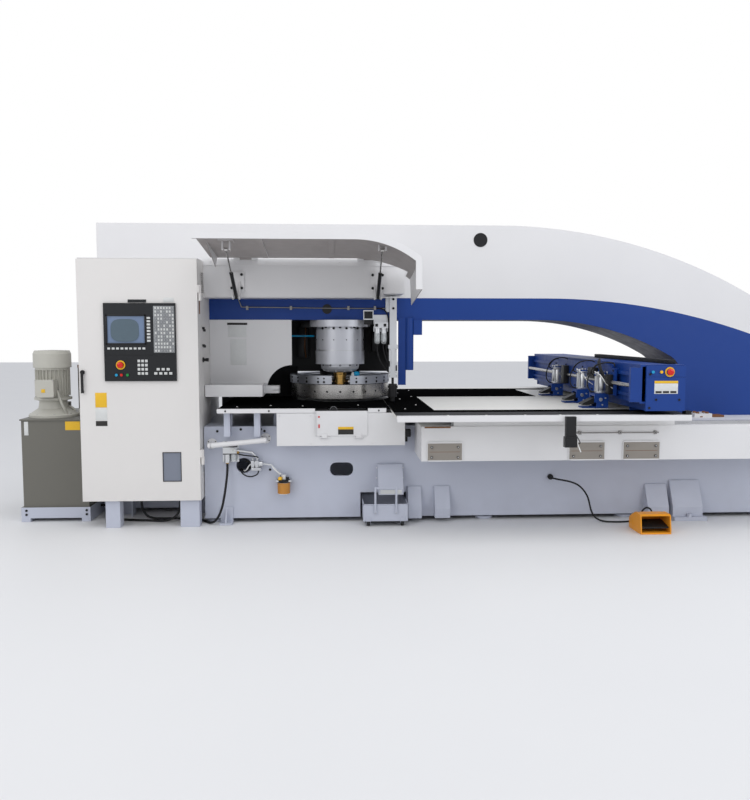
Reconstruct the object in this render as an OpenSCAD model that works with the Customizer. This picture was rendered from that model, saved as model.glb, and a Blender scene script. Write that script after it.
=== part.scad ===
// Closed-frame turret punch press, opened hood, seen at rest.
// X runs along the frame to the right, Y runs away from the operator, Z is up.
// The origin is on the floor, straight under the axis of the punching ram.

/* [Frame] */
// Thickness of the closed frame, front to back
frame_t = 560; // [500:10:620]
// From the ram axis to the frame's left end
frame_left = 1705; // [1650:5:1800]
// From the ram axis to the frame's right end
frame_right = 3100; // [3000:10:3300]
// Height of the flat top of the frame
frame_top = 2060; // [2040:5:2120]
// Radius of the long fall of the frame's back
back_r = 3800; // [3600:50:4200]
// From the ram axis at which that fall starts
back_start = 1150; // [1050:10:1250]
// Height of the line between the white and the blue part
band_top = 1540; // [1500:5:1580]
// Radius of that line where it falls
band_r = 4690; // [4400:10:5000]
// From the ram axis at which that line starts to fall
band_start = 1500; // [1400:10:1600]
// Height of the underside of the upper beam over the throat
throat_top = 1384; // [1384:1:1400]
// Radius of the arched end of the throat
throat_r = 1960; // [1900:10:2050]
// From the ram axis at which the arch starts
throat_start = 1450; // [1400:10:1500]
// From the ram axis to the closed right end of the throat
throat_right = 2515; // [2480:5:2560]
// Corner radius at the right end of the throat
throat_corner_r = 170; // [120:5:200]
// From the ram axis to the left end of the throat
throat_left = 950; // [940:5:1000]
// Plate thickness of the frame
frame_wall = 30; // [20:1:40]
// Diameter of the lifting hole through the upper beam
crane_hole_d = 86; // [60:1:110]
// Diameter of the service hole in the blue band
band_hole_d = 57; // [40:1:70]

/* [Bed] */
// Half the width of the bed, front to back
bed_half = 640; // [600:5:680]
// Height of the top of the bed
bed_top = 660; // [640:5:670]
// Gap between the floor and the bed
bed_gap = 30; // [20:1:40]
// Plate thickness of the bed
bed_wall = 25; // [15:1:30]
// Left end of the wide part of the bed, from the ram axis
bed_left = 925; // [920:5:935]
// Diameter of the levelling pads
pad_d = 120; // [80:5:160]

/* [Control cabinet] */
// Width of the control cabinet
cab_w = 770; // [700:5:775]
// Depth of the cabinet without its door
cab_d = 470; // [420:5:474]
// Height of the cabinet
cab_h = 1590; // [1500:5:1620]
// Height of the cabinet's underside
cab_z = 180; // [160:5:200]
// Sheet thickness of the cabinet
cab_wall = 5; // [3:0.5:8]
// Depth of the folded door
door_d = 25; // [20:1:35]
// Width of the operator panel
panel_w = 461; // [440:1:480]
// Height of the operator panel
panel_h = 505; // [480:1:520]

/* [Hydraulic unit] */
// Length of the oil tank along X
tank_w = 440; // [400:5:460]
// Depth of the oil tank
tank_d = 800; // [700:10:900]
// Height of the oil tank's top
tank_top = 706; // [660:1:740]
// Outer diameter of the pump motor
motor_d = 240; // [200:5:260]

/* [Punching head] */
// Distance the ram strikes down
ram_stroke = 37; // [25:1:38]
// Diameter of the ram rod
rod_d = 94; // [80:1:100]
// Diameter of the ram cylinder
ram_d = 352; // [320:2:352]
// Diameter of the ram cylinder's mounting flange
ram_flange_d = 444; // [420:2:460]
// Distance the ram axis lies in front of the frame's middle plane
ram_front = 120; // [120:1:125]
// Radius of the circle that the stations lie on
station_r = 280; // [280:1:285]
// Radius of the upper and lower turret discs
turret_r = 375; // [370:1:385]
// Height of the upper turret's underside
upper_z = 808; // [806:1:812]
// Thickness of the upper turret disc
upper_t = 104; // [90:1:104]
// Thickness of the lower turret disc
lower_t = 90; // [70:1:95]
// Number of stations, an even number
stations = 24; // [24:4:24]
// Running clearance of shafts in their bores, on the radius
run_gap = 0.05; // [0.02:0.01:0.08]
// Clearance between faces that move past each other
face_gap = 0.5; // [0.3:0.1:1]

/* [Hood] */
// Width of the flat part of the hood's left side, from the ram axis
hood_left = 875; // [860:5:880]
// From the ram axis to the hood's right wall
hood_right = 480; // [476:1:500]
// Length of the hood, hinge to lip
hood_l = 740; // [700:5:780]
// Angle that the open hood rises towards its lip
hood_rise = 6.2; // [4:0.1:8]
// Height of the hood's right wall
hood_wall_h = 188; // [160:2:200]
// Sheet thickness of the hood
hood_t = 5; // [3:0.5:6]
// Depth of the white box that carries the hood
head_d = 240; // [230:1:250]

/* [Table] */
// Height of the table's brush tops
table_z = 793; // [788:1:794]
// Half the width of the table, front to back
table_half = 1300; // [1250:10:1350]
// Right end of the side tables, from the ram axis
table_right = 2140; // [2100:5:2160]
// Middle of the slots that the beam's arms run in, from the middle plane
slot_y = 994; // [990:1:1000]
// Width of those slots
slot_w = 24; // [22:1:30]
// Front edge of the centre table, from the middle plane
centre_front = 780; // [760:5:790]

/* [Sheet feed] */
// Travel of the feed beam towards the head
beam_travel = 1000; // [800:10:1000]
// Left face of the feed beam at rest, from the ram axis
beam_x = 1816; // [1800:1:1830]
// Width of the feed beam
beam_w = 274; // [240:2:290]
// Height of the top of the feed beam
beam_top = 1098; // [1080:1:1110]
// Height of the underside of the feed beam
beam_bottom = 816; // [810:1:820]
// Distance between the first and second clamp
clamp_pitch = 400; // [350:10:450]

/* [Foot switch] */
// Length of the foot switch housing
pedal_l = 200; // [180:2:220]
// Height of the foot switch housing
pedal_h = 125; // [110:1:135]

/* [Hidden] */
$fn = 64;
eps = 0.01;
half_t = frame_t / 2;
white = "whitesmoke";
machine_blue = "royalblue";
pale_grey = "lightsteelblue";
steel = "silver";
black = "dimgray";

// A profile in X and Z, drawn as a slab from y0 to y1.
module slab(y0, y1) {
  translate([0, y1, 0]) rotate([90, 0, 0]) linear_extrude(height = y1 - y0) children();
}

// A profile in Y and Z, drawn as a slab from x0 to x1.
module side(x0, x1) {
  translate([x0, 0, 0]) rotate([90, 0, 90]) linear_extrude(height = x1 - x0) children();
}

// Raises its children by z.
module up(z) {
  translate([0, 0, z]) children();
}

// A box between two corners.
module block(a, b) {
  translate(a) cube(b - a);
}

// A cylinder along Y that starts at p and runs towards +Y.
module rod_y(p, d, l) {
  translate(p) rotate([-90, 0, 0]) cylinder(d = d, h = l);
}

// A cylinder along X that starts at p and runs towards +X.
module rod_x(p, d, l) {
  translate(p) rotate([0, 90, 0]) cylinder(d = d, h = l);
}

// A rectangle with round corners, centred.
module round_rect(w, h, r) {
  square([w - 2 * r, h], center = true);
  square([w, h - 2 * r], center = true);
  for (x = [-1, 1], y = [-1, 1]) translate([x * (w / 2 - r), y * (h / 2 - r)]) circle(r = r);
}

// A thin tube or rod along a list of points, with a ball at each bend.
module bent_rod(points, d) {
  for (i = [0 : len(points) - 2]) {
    v = points[i + 1] - points[i];
    l = norm(v);
    translate(points[i]) rotate([0, acos(v[2] / l), atan2(v[1], v[0])]) cylinder(d = d, h = l, $fn = 24);
  }
  for (i = [1 : 1 : len(points) - 2]) translate(points[i]) sphere(d = d * 1.08, $fn = 24);
}

// Everything below a line at height z that falls on a circle of radius r from x0 on.
module below_curve(z, r, x0) {
  low = -200;
  far_left = -frame_left - 500;
  translate([far_left, low]) square([x0 - far_left, z - low]);
  intersection() {
    translate([x0, z - r]) circle(r = r, $fn = 360);
    translate([x0 - 1, low]) square([frame_right - x0 + 500, z - low]);
  }
}

// The throat as a profile, grown all round by t.
module throat(t = 0) {
  r = throat_r + t;
  corner = throat_corner_r + t;
  right = throat_right + t;
  top = throat_top + t;
  centre = [throat_start, top - r];
  rise = sqrt(pow(r - corner, 2) - pow(right - corner - throat_start, 2));
  lean = atan2(right - corner - throat_start, rise);
  corner_z = centre[1] + rise;
  floor_z = bed_top - t;
  translate([-throat_left - t, floor_z]) square([throat_start + throat_left + t, top - floor_z]);
  translate([0, floor_z]) square([right, corner_z - floor_z]);
  translate([right - corner, corner_z]) circle(r = corner);
  intersection() {
    translate(centre) circle(r = r, $fn = 360);
    translate(centre) rotate(-lean) translate([-2 * r, 0]) square([2 * r, 2 * r]);
    translate([throat_start - 1, floor_z]) square([right - throat_start, top - floor_z]);
  }
}

// The frame's whole outline down to the bed, drawn in by t.
module frame_outline(t = 0) {
  intersection() {
    below_curve(frame_top - t, back_r - t, back_start);
    translate([-frame_left + t, bed_top]) square([frame_left + frame_right - 2 * t, frame_top]);
  }
}

// The blue part: under the band line and right of the throat's left end.
module band_area(t = 0) {
  intersection() {
    below_curve(band_top - t, band_r - t, band_start);
    translate([-throat_left + t, bed_top]) square([throat_left + frame_right - 2 * t, frame_top]);
  }
}

module frame_outer() color(white) difference() {
  slab(-half_t, half_t) difference() {
    frame_outline();
    band_area();
    throat();
  }
  slab(-half_t + frame_wall, half_t - frame_wall) difference() {
    frame_outline(frame_wall);
    band_area(-frame_wall);
    throat(frame_wall);
  }
  rod_y([crane_hole_x, -half_t - 1, crane_hole_z], crane_hole_d, frame_t + 2);
}
crane_hole_x = 1011;
crane_hole_z = frame_top - 104;
band_hole_x = -93;
band_hole_z = band_top - 79;

module frame_band() color(machine_blue) difference() {
  slab(-half_t, half_t) difference() {
    band_area();
    throat();
  }
  slab(-half_t + frame_wall, half_t - frame_wall) difference() {
    band_area(frame_wall);
    throat(frame_wall);
  }
  rod_y([band_hole_x, -half_t - 1, band_hole_z], band_hole_d, frame_t + 2);
  // open underside of the column, over the bed
  block([throat_right + 2 * frame_wall, -half_t + frame_wall, bed_top - 1],
        [frame_right - 2 * frame_wall, half_t - frame_wall, bed_top + 3 * frame_wall]);
}

slot_hole = [4, 362, 157, 92];
round_hole = [-659, 393, 104];
gland_at = [1449, 297];
chute_x = [250, 418];
chute_z = [206, 397];
bay_x = [132, 452];
bay_z = 200;
bed_right = frame_right - 40;

// Welded lower part: a narrow box under the frame and a wide one under the tables.
module bed() color(pale_grey) {
  difference() {
    union() {
      block([-frame_left, -half_t, bed_gap], [frame_right, half_t, bed_top]);
      block([-bed_left, -bed_half, bed_gap], [bed_right, bed_half, bed_top]);
    }
    block([-frame_left + bed_wall, -half_t + bed_wall, bed_gap - 1],
          [frame_right - bed_wall, half_t - bed_wall, bed_top - bed_wall]);
    block([-bed_left + bed_wall, half_t, bed_gap - 1],
          [bed_right - bed_wall, bed_half - bed_wall, bed_top - bed_wall]);
    block([-bed_left + bed_wall, -bed_half + bed_wall, bed_gap - 1],
          [bed_right - bed_wall, -half_t, bed_top - bed_wall]);
    slab(-bed_half - 1, -bed_half + bed_wall + 1) {
      translate([slot_hole[0], slot_hole[1]]) round_rect(slot_hole[2], slot_hole[3], 40);
      translate([round_hole[0], round_hole[1]]) circle(d = round_hole[2]);
      translate([chute_x[0] + 8, chute_z[0]])
        square([chute_x[1] - chute_x[0] - 16, chute_z[1] - chute_z[0] - 20]);
      translate([bay_x[0], bed_gap - 1]) square([bay_x[1] - bay_x[0], bay_z - bed_gap + 1]);
      translate(gland_at) circle(d = gland_bore);
    }
    // way for the lower turret's spindle
    translate([0, turret_y, bed_top - bed_wall - 1]) cylinder(d = spindle_d + 20, h = bed_wall + 2);
  }
  // plates that the levelling pads bear on
  for (p = pad_spots) {
    reach = p[1] == 0 ? half_t - 1 : 79;
    block([p[0] - 70, p[1] - reach, bed_gap], [p[0] + 70, p[1] + reach, bed_gap + 20]);
  }
  // threaded gland for the foot switch cord
  difference() {
    rod_y([gland_at[0], -bed_half - gland_out, gland_at[1]], 38, gland_out);
    rod_y([gland_at[0], -bed_half - gland_out - 1, gland_at[1]], gland_bore, gland_out + 2);
  }
}
gland_out = 18;
gland_bore = 12.4;

pad_spots = [
  [0, 0], [-1600, -180], [-1600, 180], [-860, -560], [-860, 560], [1000, -560], [1000, 560],
  [0, 560], [2000, -560], [2000, 560], [2980, -560], [2980, 560]
];

// Gusset that stands out from the bed's front face, from x0 to x1.
module gusset(x0, x1, h, out) {
  translate([0, -bed_half, 0]) side(x0, x1)
    polygon([[0, bed_gap], [0, h], [-12, h], [-out, bed_gap + 60], [-out, bed_gap]]);
}

module floor_feet() color(pale_grey) {
  for (p = pad_spots) translate([p[0], p[1], 0]) {
    cylinder(d = pad_d, h = bed_gap - 12);
    cylinder(d = pad_d / 2, h = bed_gap);
  }
  // left foot: an angle on the bed's corner
  block([-820, -720, 0], [-735, -bed_half, 12]);
  block([-820, -bed_half - 12, 12], [-735, -bed_half, 110]);
  side(-784, -772) polygon([[-bed_half - 12, 12], [-bed_half - 12, 100], [-715, 30], [-715, 12]]);
  // two lugs beside the chute
  gusset(456, 548, 240, 70);
  gusset(640, 744, 240, 70);
  // anchor lugs at the right with a common foot plate and its bolt
  gusset(2117, 2266, 240, 80);
  gusset(2290, 2500, 265, 90);
  block([2290, -760, 0], [2520, -bed_half, 26]);
  block([2290, -bed_half - 90, 26], [2500, -bed_half, bed_gap]);
  translate([2400, -745, 26]) cylinder(d = 34, h = 22, $fn = 6);
}

cab_x1 = -930;
cab_x0 = cab_x1 - cab_w;
cab_y1 = -half_t - 1;
cab_y0 = cab_y1 - cab_d;
cab_top = cab_z + cab_h;
door_y1 = cab_y0 - 0.5;
door_y0 = door_y1 - door_d;
hinge_pin_d = 12;
hinge_x = cab_x1 + 12;
hinge_y = door_y1 - 4;
hinge_z = [420, 1500];
knuckle_h = 50;
knuckle_d = 22;

module cabinet_shell() color(white) {
  cabinet_stand();
  difference() {
    block([cab_x0, cab_y0, cab_z], [cab_x1, cab_y1, cab_top]);
    block([cab_x0 + cab_wall, cab_y0 - 1, cab_z + cab_wall],
          [cab_x1 - cab_wall, cab_y1 - cab_wall, cab_top - cab_wall]);
    // vent slots in the right side
    for (i = [0 : 9])
      block([cab_x1 - cab_wall - 1, cab_y0 + 120, 1560 + i * 14],
            [cab_x1 + 1, cab_y0 + 330, 1560 + i * 14 + 6]);
    for (p = [[-1380, -520], [-1100, -600]])
      translate([p[0], p[1], cab_z - 1]) cylinder(d = cable_d + 0.4, h = cab_wall + 2);
  }
  // rim that the door seals on
  difference() {
    block([cab_x0 + cab_wall - eps, cab_y0, cab_z + cab_wall - eps],
          [cab_x1 - cab_wall + eps, cab_y0 + 4, cab_top - cab_wall + eps]);
    block([cab_x0 + 30, cab_y0 - 1, cab_z + 30], [cab_x1 - 30, cab_y0 + 5, cab_top - 30]);
  }
  // lower hinge knuckles with their pins
  for (z = hinge_z) {
    translate([hinge_x, hinge_y, z]) cylinder(d = knuckle_d, h = knuckle_h);
    translate([hinge_x, hinge_y, z]) cylinder(d = hinge_pin_d, h = 2 * knuckle_h - 4);
    block([cab_x1 - eps, hinge_y + 6, z], [hinge_x + knuckle_d / 2 - 2, cab_y0 + 30, z + knuckle_h]);
  }
}
cable_d = 16;

// Two pairs of channel legs under the cabinet.
module cabinet_stand() color(steel) for (x = [[-1561, -1467], [-1071, -945]]) {
  block([x[0], -750, 0], [x[1], -742, cab_z]);
  block([x[0], -338, 0], [x[1], -330, cab_z]);
  for (y = [[-743, -660], [-420, -337]]) {
    block([x[0], y[0], 0], [x[0] + 8, y[1], cab_z]);
    block([x[1] - 8, y[0], 0], [x[1], y[1], cab_z]);
  }
}

win_x = [-1171, -1057];
win_z = [316, 504];
panel_x0 = -1531;
panel_z0 = 978;
handle_at = [-1674, 1036];

module cabinet_door() color(white) {
  difference() {
    block([cab_x0, door_y0, cab_z + 4], [cab_x1, door_y1, cab_top - 4]);
    block([cab_x0 + 3, door_y0 + 3, cab_z + 7], [cab_x1 - 3, door_y1 + 1, cab_top - 7]);
    block([panel_x0 + 12, door_y0 - 1, panel_z0 + 12],
          [panel_x0 + panel_w - 12, door_y1 + 1, panel_z0 + panel_h - 12]);
    block([win_x[0], door_y0 - 1, win_z[0]], [win_x[1], door_y1 + 1, win_z[1]]);
    rod_y([handle_at[0], door_y0 - 1, handle_at[1]], 16 + 2 * run_gap, door_d + 2);
    // room for the lower knuckles
    for (z = hinge_z)
      translate([hinge_x, hinge_y, z - 1]) cylinder(d = knuckle_d + 2, h = knuckle_h + 1.5);
  }
  // glazed meter window, set back in its frame
  block([win_x[0] - 8, door_y0 + 3, win_z[0] - 8], [win_x[1] + 8, door_y0 + 7, win_z[1] + 8]);
  // boss for the handle's shaft
  difference() {
    rod_y([handle_at[0], door_y0 + 3, handle_at[1]], 30, door_d - 3);
    rod_y([handle_at[0], door_y0, handle_at[1]], 16 + 2 * run_gap, door_d + 2);
  }
  // upper hinge knuckles
  for (z = hinge_z) difference() {
    union() {
      translate([hinge_x, hinge_y, z + knuckle_h + 0.5]) cylinder(d = knuckle_d, h = knuckle_h);
      block([cab_x1 - 12, door_y0 + 1, z + knuckle_h + 0.5], [hinge_x, hinge_y, z + 2 * knuckle_h]);
    }
    translate([hinge_x, hinge_y, z]) cylinder(d = hinge_pin_d + 2 * run_gap, h = 3 * knuckle_h);
  }
}

module door_handle() color(black) {
  rod_y([handle_at[0], door_y0 - 16, handle_at[1]], 28, 16 - face_gap);
  rod_y([handle_at[0], door_y0 - 16, handle_at[1]], 16, 16 + door_d - 4);
  // lever, hollowed behind
  difference() {
    block([handle_at[0] - 8, door_y0 - 26, handle_at[1] - 135],
          [handle_at[0] + 8, door_y0 - 12, handle_at[1] + 8]);
    block([handle_at[0] - 9, door_y0 - 19, handle_at[1] - 120],
          [handle_at[0] + 9, door_y0 - 11, handle_at[1] - 20]);
  }
}

panel_t = 14;
panel_y = door_y0 - panel_t;
screen_x = [-1508, -1270];
screen_z = [1225, 1399];
estop_at = [-1427, 1083];
// One square key that stands out of the panel.
module key(x, z, w, h) {
  block([x - w / 2, panel_y - 2, z - h / 2], [x + w / 2, panel_y + eps, z + h / 2]);
}

module operator_panel() color("darkslategray") {
  difference() {
    block([panel_x0, panel_y, panel_z0], [panel_x0 + panel_w, door_y0, panel_z0 + panel_h]);
    block([screen_x[0], panel_y - 1, screen_z[0]], [screen_x[1], panel_y + 6, screen_z[1]]);
    // joints between the screen unit, the keyboard and the lower panel
    block([panel_x0 - 1, panel_y - 1, 1145], [panel_x0 + panel_w + 1, panel_y + 1.5, 1148]);
    block([-1218, panel_y - 1, 1148], [-1215, panel_y + 1.5, panel_z0 + panel_h + 1]);
    rod_y([estop_at[0], panel_y - 1, estop_at[1]], 22 + 2 * run_gap, panel_t + 2);
    for (x = button_x) rod_y([x, panel_y - 1, button_z], button_d + 2 * run_gap, panel_t + 2);
  }
  // back box behind the cut-out
  difference() {
    block([panel_x0 + 13, door_y0 - eps, panel_z0 + 13],
          [panel_x0 + panel_w - 13, door_y0 + 90, panel_z0 + panel_h - 13]);
    rod_y([estop_at[0], door_y0 - 1, estop_at[1]], 40, 60);
    for (x = button_x) rod_y([x, door_y0 - 1, button_z], 30, 60);
  }
  // soft keys beside and below the screen
  for (i = [0 : 7]) key(-1243, 1240 + i * 21, 24, 15);
  for (i = [0 : 8]) key(-1500 + i * 28, 1190, 20, 15);
  // keyboard
  for (i = [0 : 6], j = [0 : 12]) key(-1198 + i * 18.5, 1175 + j * 23, 14, 17);
  // lower panel
  for (i = [0 : 2], j = [0 : 3]) key(-1310 + i * 24, 1028 + j * 27, 19, 19);
  for (i = [0 : 3]) key(-1203 + i * 32, 1028, 22, 18);
  for (i = [0 : 2]) key(-1187 + i * 32, 1055, 22, 18);
  // small plate over the panel
  block([-1375, door_y0 - 4, 1487], [-1258, door_y0, 1506]);
  // bezels of the push buttons, three in a row
  for (x = button_x) difference() {
    rod_y([x, panel_y - 3, button_z], 26, 3 + eps);
    rod_y([x, panel_y - 4, button_z], button_d + 2 * run_gap, 5);
  }
  // yellow ring under the stop button
  difference() {
    rod_y([estop_at[0], panel_y - 4, estop_at[1]], 58, 4 + eps);
    rod_y([estop_at[0], panel_y - 5, estop_at[1]], 22 + 2 * run_gap, 6);
  }
}

// A mushroom stop button that points at -Y, its stem running back from y.
module mushroom(x, y, z, stem) {
  translate([x, y, z]) rotate([90, 0, 0]) {
    up(-stem) cylinder(d = 22, h = stem + 8);
    rotate_extrude() polygon([[0, 7], [17, 7], [20, 11], [20, 17], [17, 21], [9, 23], [0, 23]]);
  }
}
button_x = [-1455, -1423, -1384];
button_z = 1018;
button_d = 18;
// Flat push button on a stem, its face towards -Y.
module push_button(x, y, z, stem) {
  rod_y([x, y - 8, z], button_d, 8 + stem);
  rod_y([x, y + stem, z], button_d + 6, 4);
}
module button_blue() color("deepskyblue") push_button(button_x[0], panel_y, button_z, panel_t + 8);
module button_red() color("red") push_button(button_x[1], panel_y, button_z, panel_t + 8);
module button_green() color("green") push_button(button_x[2], panel_y, button_z, panel_t + 8);
module panel_estop() color("red") mushroom(estop_at[0], panel_y - 4, estop_at[1], 40);

tank_x1 = -frame_left - 25;
tank_x0 = tank_x1 - tank_w;
tank_y0 = -540;
tank_z0 = 100;
motor_at = [-2020, -330];

module hydraulic_tank() color("slategray") {
  oil_cooler();
  difference() {
    block([tank_x0, tank_y0, tank_z0], [tank_x1, tank_y0 + tank_d, tank_top]);
    block([tank_x0 + 5, tank_y0 + 5, tank_z0 + 5], [tank_x1 - 5, tank_y0 + tank_d - 5, tank_top - 10]);
    translate([tank_x0 + 90, tank_y0 + 640, tank_top - 11]) cylinder(d = 50, h = 12);
  }
  // rolled rim of the lid
  difference() {
    block([tank_x0 - 8, tank_y0 - 8, tank_top - 10], [tank_x1 + 8, tank_y0 + tank_d + 8, tank_top]);
    block([tank_x0 + 1, tank_y0 + 1, tank_top - 11], [tank_x1 - 1, tank_y0 + tank_d - 1, tank_top + 1]);
  }
  // filler and breather cap
  translate([tank_x0 + 90, tank_y0 + 640, tank_top - 10]) {
    cylinder(d = 49.8, h = 30);
    up(30) cylinder(d = 84, h = 46);
  }
  // base frame of channel
  difference() {
    block([tank_x0 - 15, tank_y0 - 12, 0], [tank_x1 + 10, tank_y0 + tank_d + 12, tank_z0]);
    block([tank_x0 + 45, tank_y0 + 48, -1], [tank_x1 - 50, tank_y0 + tank_d - 48, tank_z0 + 1]);
    block([tank_x0 + 45, tank_y0 - 13, -1], [tank_x1 - 50, tank_y0 + tank_d + 13, 25]);
  }
}

module pump_motor() color("darkgray") translate([motor_at[0], motor_at[1], tank_top]) {
  // flared pump carrier
  rotate_extrude() polygon([
    [0, 0], [165, 0], [165, 16], [100, 60], [92, 112], [125, 120], [125, 136], [0, 136]]);
  // finned body
  up(136) {
    up(-4) cylinder(d = motor_d - 36, h = 210);
    for (i = [0 : 27]) rotate(i * 360 / 28)
      translate([motor_d / 2 - 30, -2, 12]) cube([26, 4, 186]);
    up(192) cylinder(d = motor_d - 10, h = 20);
  }
  // terminal box, set on the front of the motor
  block([-55, -motor_d / 2 - 55, 150], [60, -motor_d / 2 + 25, 262]);
  block([-60, -motor_d / 2 - 62, 145], [65, -motor_d / 2 - 54, 267]);
  // fan cowl with its intake ring
  up(344) difference() {
    rotate_extrude() polygon([
      [0, 0], [motor_d / 2 + 6, 0], [motor_d / 2 + 6, 96], [motor_d / 2 - 4, 118], [0, 122]]);
    for (i = [0 : 4]) up(100) difference() {
      cylinder(d = 180 - i * 30, h = 30);
      up(-1) cylinder(d = 168 - i * 30, h = 32);
    }
  }
}

module oil_cooler() color(black) {
  x0 = -1890;
  y0 = -190;
  difference() {
    block([x0, y0, tank_top], [x0 + 110, y0 + 300, 1060]);
    rod_x([x0 - 1, y0 + 150, 900], 220, 20);
    for (i = [0 : 10]) block([x0 + 96, y0 + 20, 750 + i * 26], [x0 + 111, y0 + 280, 764 + i * 26]);
  }
  rod_x([x0 + 6, y0 + 150, 900], 60, 14);
}

head_x0 = -930;
head_x1 = 440;
head_y0 = -half_t - head_d;
head_z0 = 1531;
head_z1 = 1793;
strut_x = [-703, 256];
strut_low = [head_y0 - 45, 1530];
hood_axis = [head_y0 - 10, 1800];
strut_up = [-1060, 1800];
strut_pin_d = 10;
hood_pin_d = 14;
hood_hinge_x = [-640, 200];
hood_knuckle = 80;

// Clevis ears on a bolted plate that take the strut's lower eye.
module strut_bracket(x) {
  block([x - 50, head_y0 - 12, 1575], [x + 50, head_y0 + eps, 1705]);
  for (s = [-1, 1]) {
    side(x + s * 22 - 4, x + s * 22 + 4) union() {
      translate(strut_low) circle(r = 15);
      polygon([[head_y0 + eps, 1600], [head_y0 - 12, 1640], [head_y0 - 59, 1532], [head_y0 - 34, 1519]]);
    }
    for (z = [1595, 1685]) rod_y([x + s * 34, head_y0 - 18, z], 16, 7);
  }
  rod_x([x - 26, strut_low[0], strut_low[1]], strut_pin_d, 52);
}

module head_box() color(white) {
  difference() {
    union() {
      block([head_x0, head_y0, head_z0], [head_x1, -half_t, head_z1]);
      block([head_x0, head_y0 - 5, head_z1 - 46], [head_x1 - 45, head_y0 + eps, head_z1]);
    }
    block([head_x0 + 6, head_y0 + 6, head_z0 + 6], [head_x1 - 6, -half_t + 1, head_z1 - 6]);
    // room for the hood's knuckles
    for (x = hood_hinge_x)
      rod_x([x - hood_knuckle / 2 - 0.5, hood_axis[0], hood_axis[1]], 29, hood_knuckle + 1);
    // notch for the holder of the pneumatic foot
    block([foot_x - 80, head_y0 - 1, head_z0 - 1], [head_x1 + 1, -half_t + 1, 1566]);
  }
  block([foot_x - 86, head_y0, head_z0], [foot_x - 80, -half_t, 1566]);
  block([foot_x - 86, head_y0, 1560], [head_x1, -half_t, 1566]);
  for (x = strut_x) strut_bracket(x);
  for (x = hood_hinge_x) {
    rod_x([x - hood_knuckle, hood_axis[0], hood_axis[1]], hood_pin_d, 2 * hood_knuckle);
    for (s = [-1, 1]) difference() {
      union() {
        rod_x([x + s * (hood_knuckle / 2 + 20.5) - 20, hood_axis[0], hood_axis[1]], 28, 40);
        block([x + s * (hood_knuckle / 2 + 20.5) - 20, hood_axis[0], head_z1 - 20],
              [x + s * (hood_knuckle / 2 + 20.5) + 20, head_y0 + 40, hood_axis[1] + 6]);
      }
      rod_x([x - 2 * hood_knuckle, hood_axis[0], hood_axis[1]], hood_pin_d - eps, 4 * hood_knuckle);
    }
  }
}

// Open profile of the hood in X and its own height, with thickness t.
hood_flat = 80;
hood_curve = 620;
hood_shut = 60 - hood_rise; // slope of the shut hood
module hood_profile(t) {
  drop = hood_curve - sqrt(pow(hood_curve, 2) - pow(hood_right - hood_flat, 2));
  difference() {
    union() {
      translate([-hood_left, -drop - hood_wall_h]) square([hood_left + hood_flat, drop + hood_wall_h]);
      intersection() {
        translate([hood_flat, -hood_curve]) circle(r = hood_curve, $fn = 180);
        translate([hood_flat - 1, -drop - hood_wall_h])
          square([hood_right - hood_flat + 1, drop + hood_wall_h]);
      }
    }
    translate([-hood_left - 1, -drop - hood_wall_h - 1])
      square([hood_left + hood_flat + 1, drop + hood_wall_h + 1 - t]);
    intersection() {
      translate([hood_flat, -hood_curve]) circle(r = hood_curve - t, $fn = 180);
      translate([hood_flat - 1, -drop - hood_wall_h - 1])
        square([hood_right - hood_flat + 1 - t, drop + hood_wall_h + 1]);
    }
  }
}

module hood() color(white) {
  drop = hood_curve - sqrt(pow(hood_curve, 2) - pow(hood_right - hood_flat, 2));
  deep = drop + hood_wall_h;
  translate([0, hood_axis[0], hood_axis[1]]) rotate([-hood_rise, 0, 0]) {
    difference() {
      union() {
        difference() {
          translate([0, -16, 0]) rotate([90, 0, 0])
            linear_extrude(height = hood_l - 16) hood_profile(hood_t);
          // the curved end is cut back so that the shut hood clears the head box
          side(hood_flat, head_x1 + 6)
            polygon([[0, 0], [-2 / cos(hood_shut), 0],
                     [-(2 + 170 * sin(hood_shut)) / cos(hood_shut), -170], [0, -170]]);
        }
        // folded lip at the front
        translate([0, -hood_l + 12, 0]) rotate([90, 0, 0]) linear_extrude(height = 12) hood_profile(38);
        // left rib
        side(-hood_left + 45, -hood_left + 50)
          polygon([[-40, -hood_t / 2], [-110, -85], [-520, -hood_t / 2]]);
        // hinge leaves and knuckles
        for (x = hood_hinge_x) {
          rod_x([x - hood_knuckle / 2, 0, 0], 28, hood_knuckle);
          block([x - hood_knuckle / 2, -60, -hood_t - 1], [x + hood_knuckle / 2, 0, 3]);
        }
        // eyes for the struts
        for (x = strut_x) for (s = [-1, 1]) hood_eye(x + s * 22 - 4);
        hood_eye_plate(strut_x[0]);
      }
      for (x = hood_hinge_x) rod_x([x - hood_knuckle, 0, 0], hood_pin_d + 2 * run_gap, 2 * hood_knuckle);
      // the wall's rear corner is cut off so that the closed hood clears the frame
      side(hood_right - 60, hood_right + 20)
        polygon([[1, -110], [-22, -150], [-95, -deep - 1], [-95, -deep - 20], [1, -deep - 20]]);
    }
    // the upper pins are two stubs each, with side clearance to the strut's eye
    for (x = strut_x) for (s = [-1, 1])
      rod_x([x + s * 15.5 - 4.5, strut_up_local[0], strut_up_local[1]], strut_pin_d, 9);
  }
}
// upper strut pivot in the hood's own frame
strut_dy = strut_up[0] - hood_axis[0];
strut_dz = strut_up[1] - hood_axis[1];
strut_up_local = [
  strut_dy * cos(hood_rise) - strut_dz * sin(hood_rise),
  strut_dz * cos(hood_rise) + strut_dy * sin(hood_rise)
];
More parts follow.
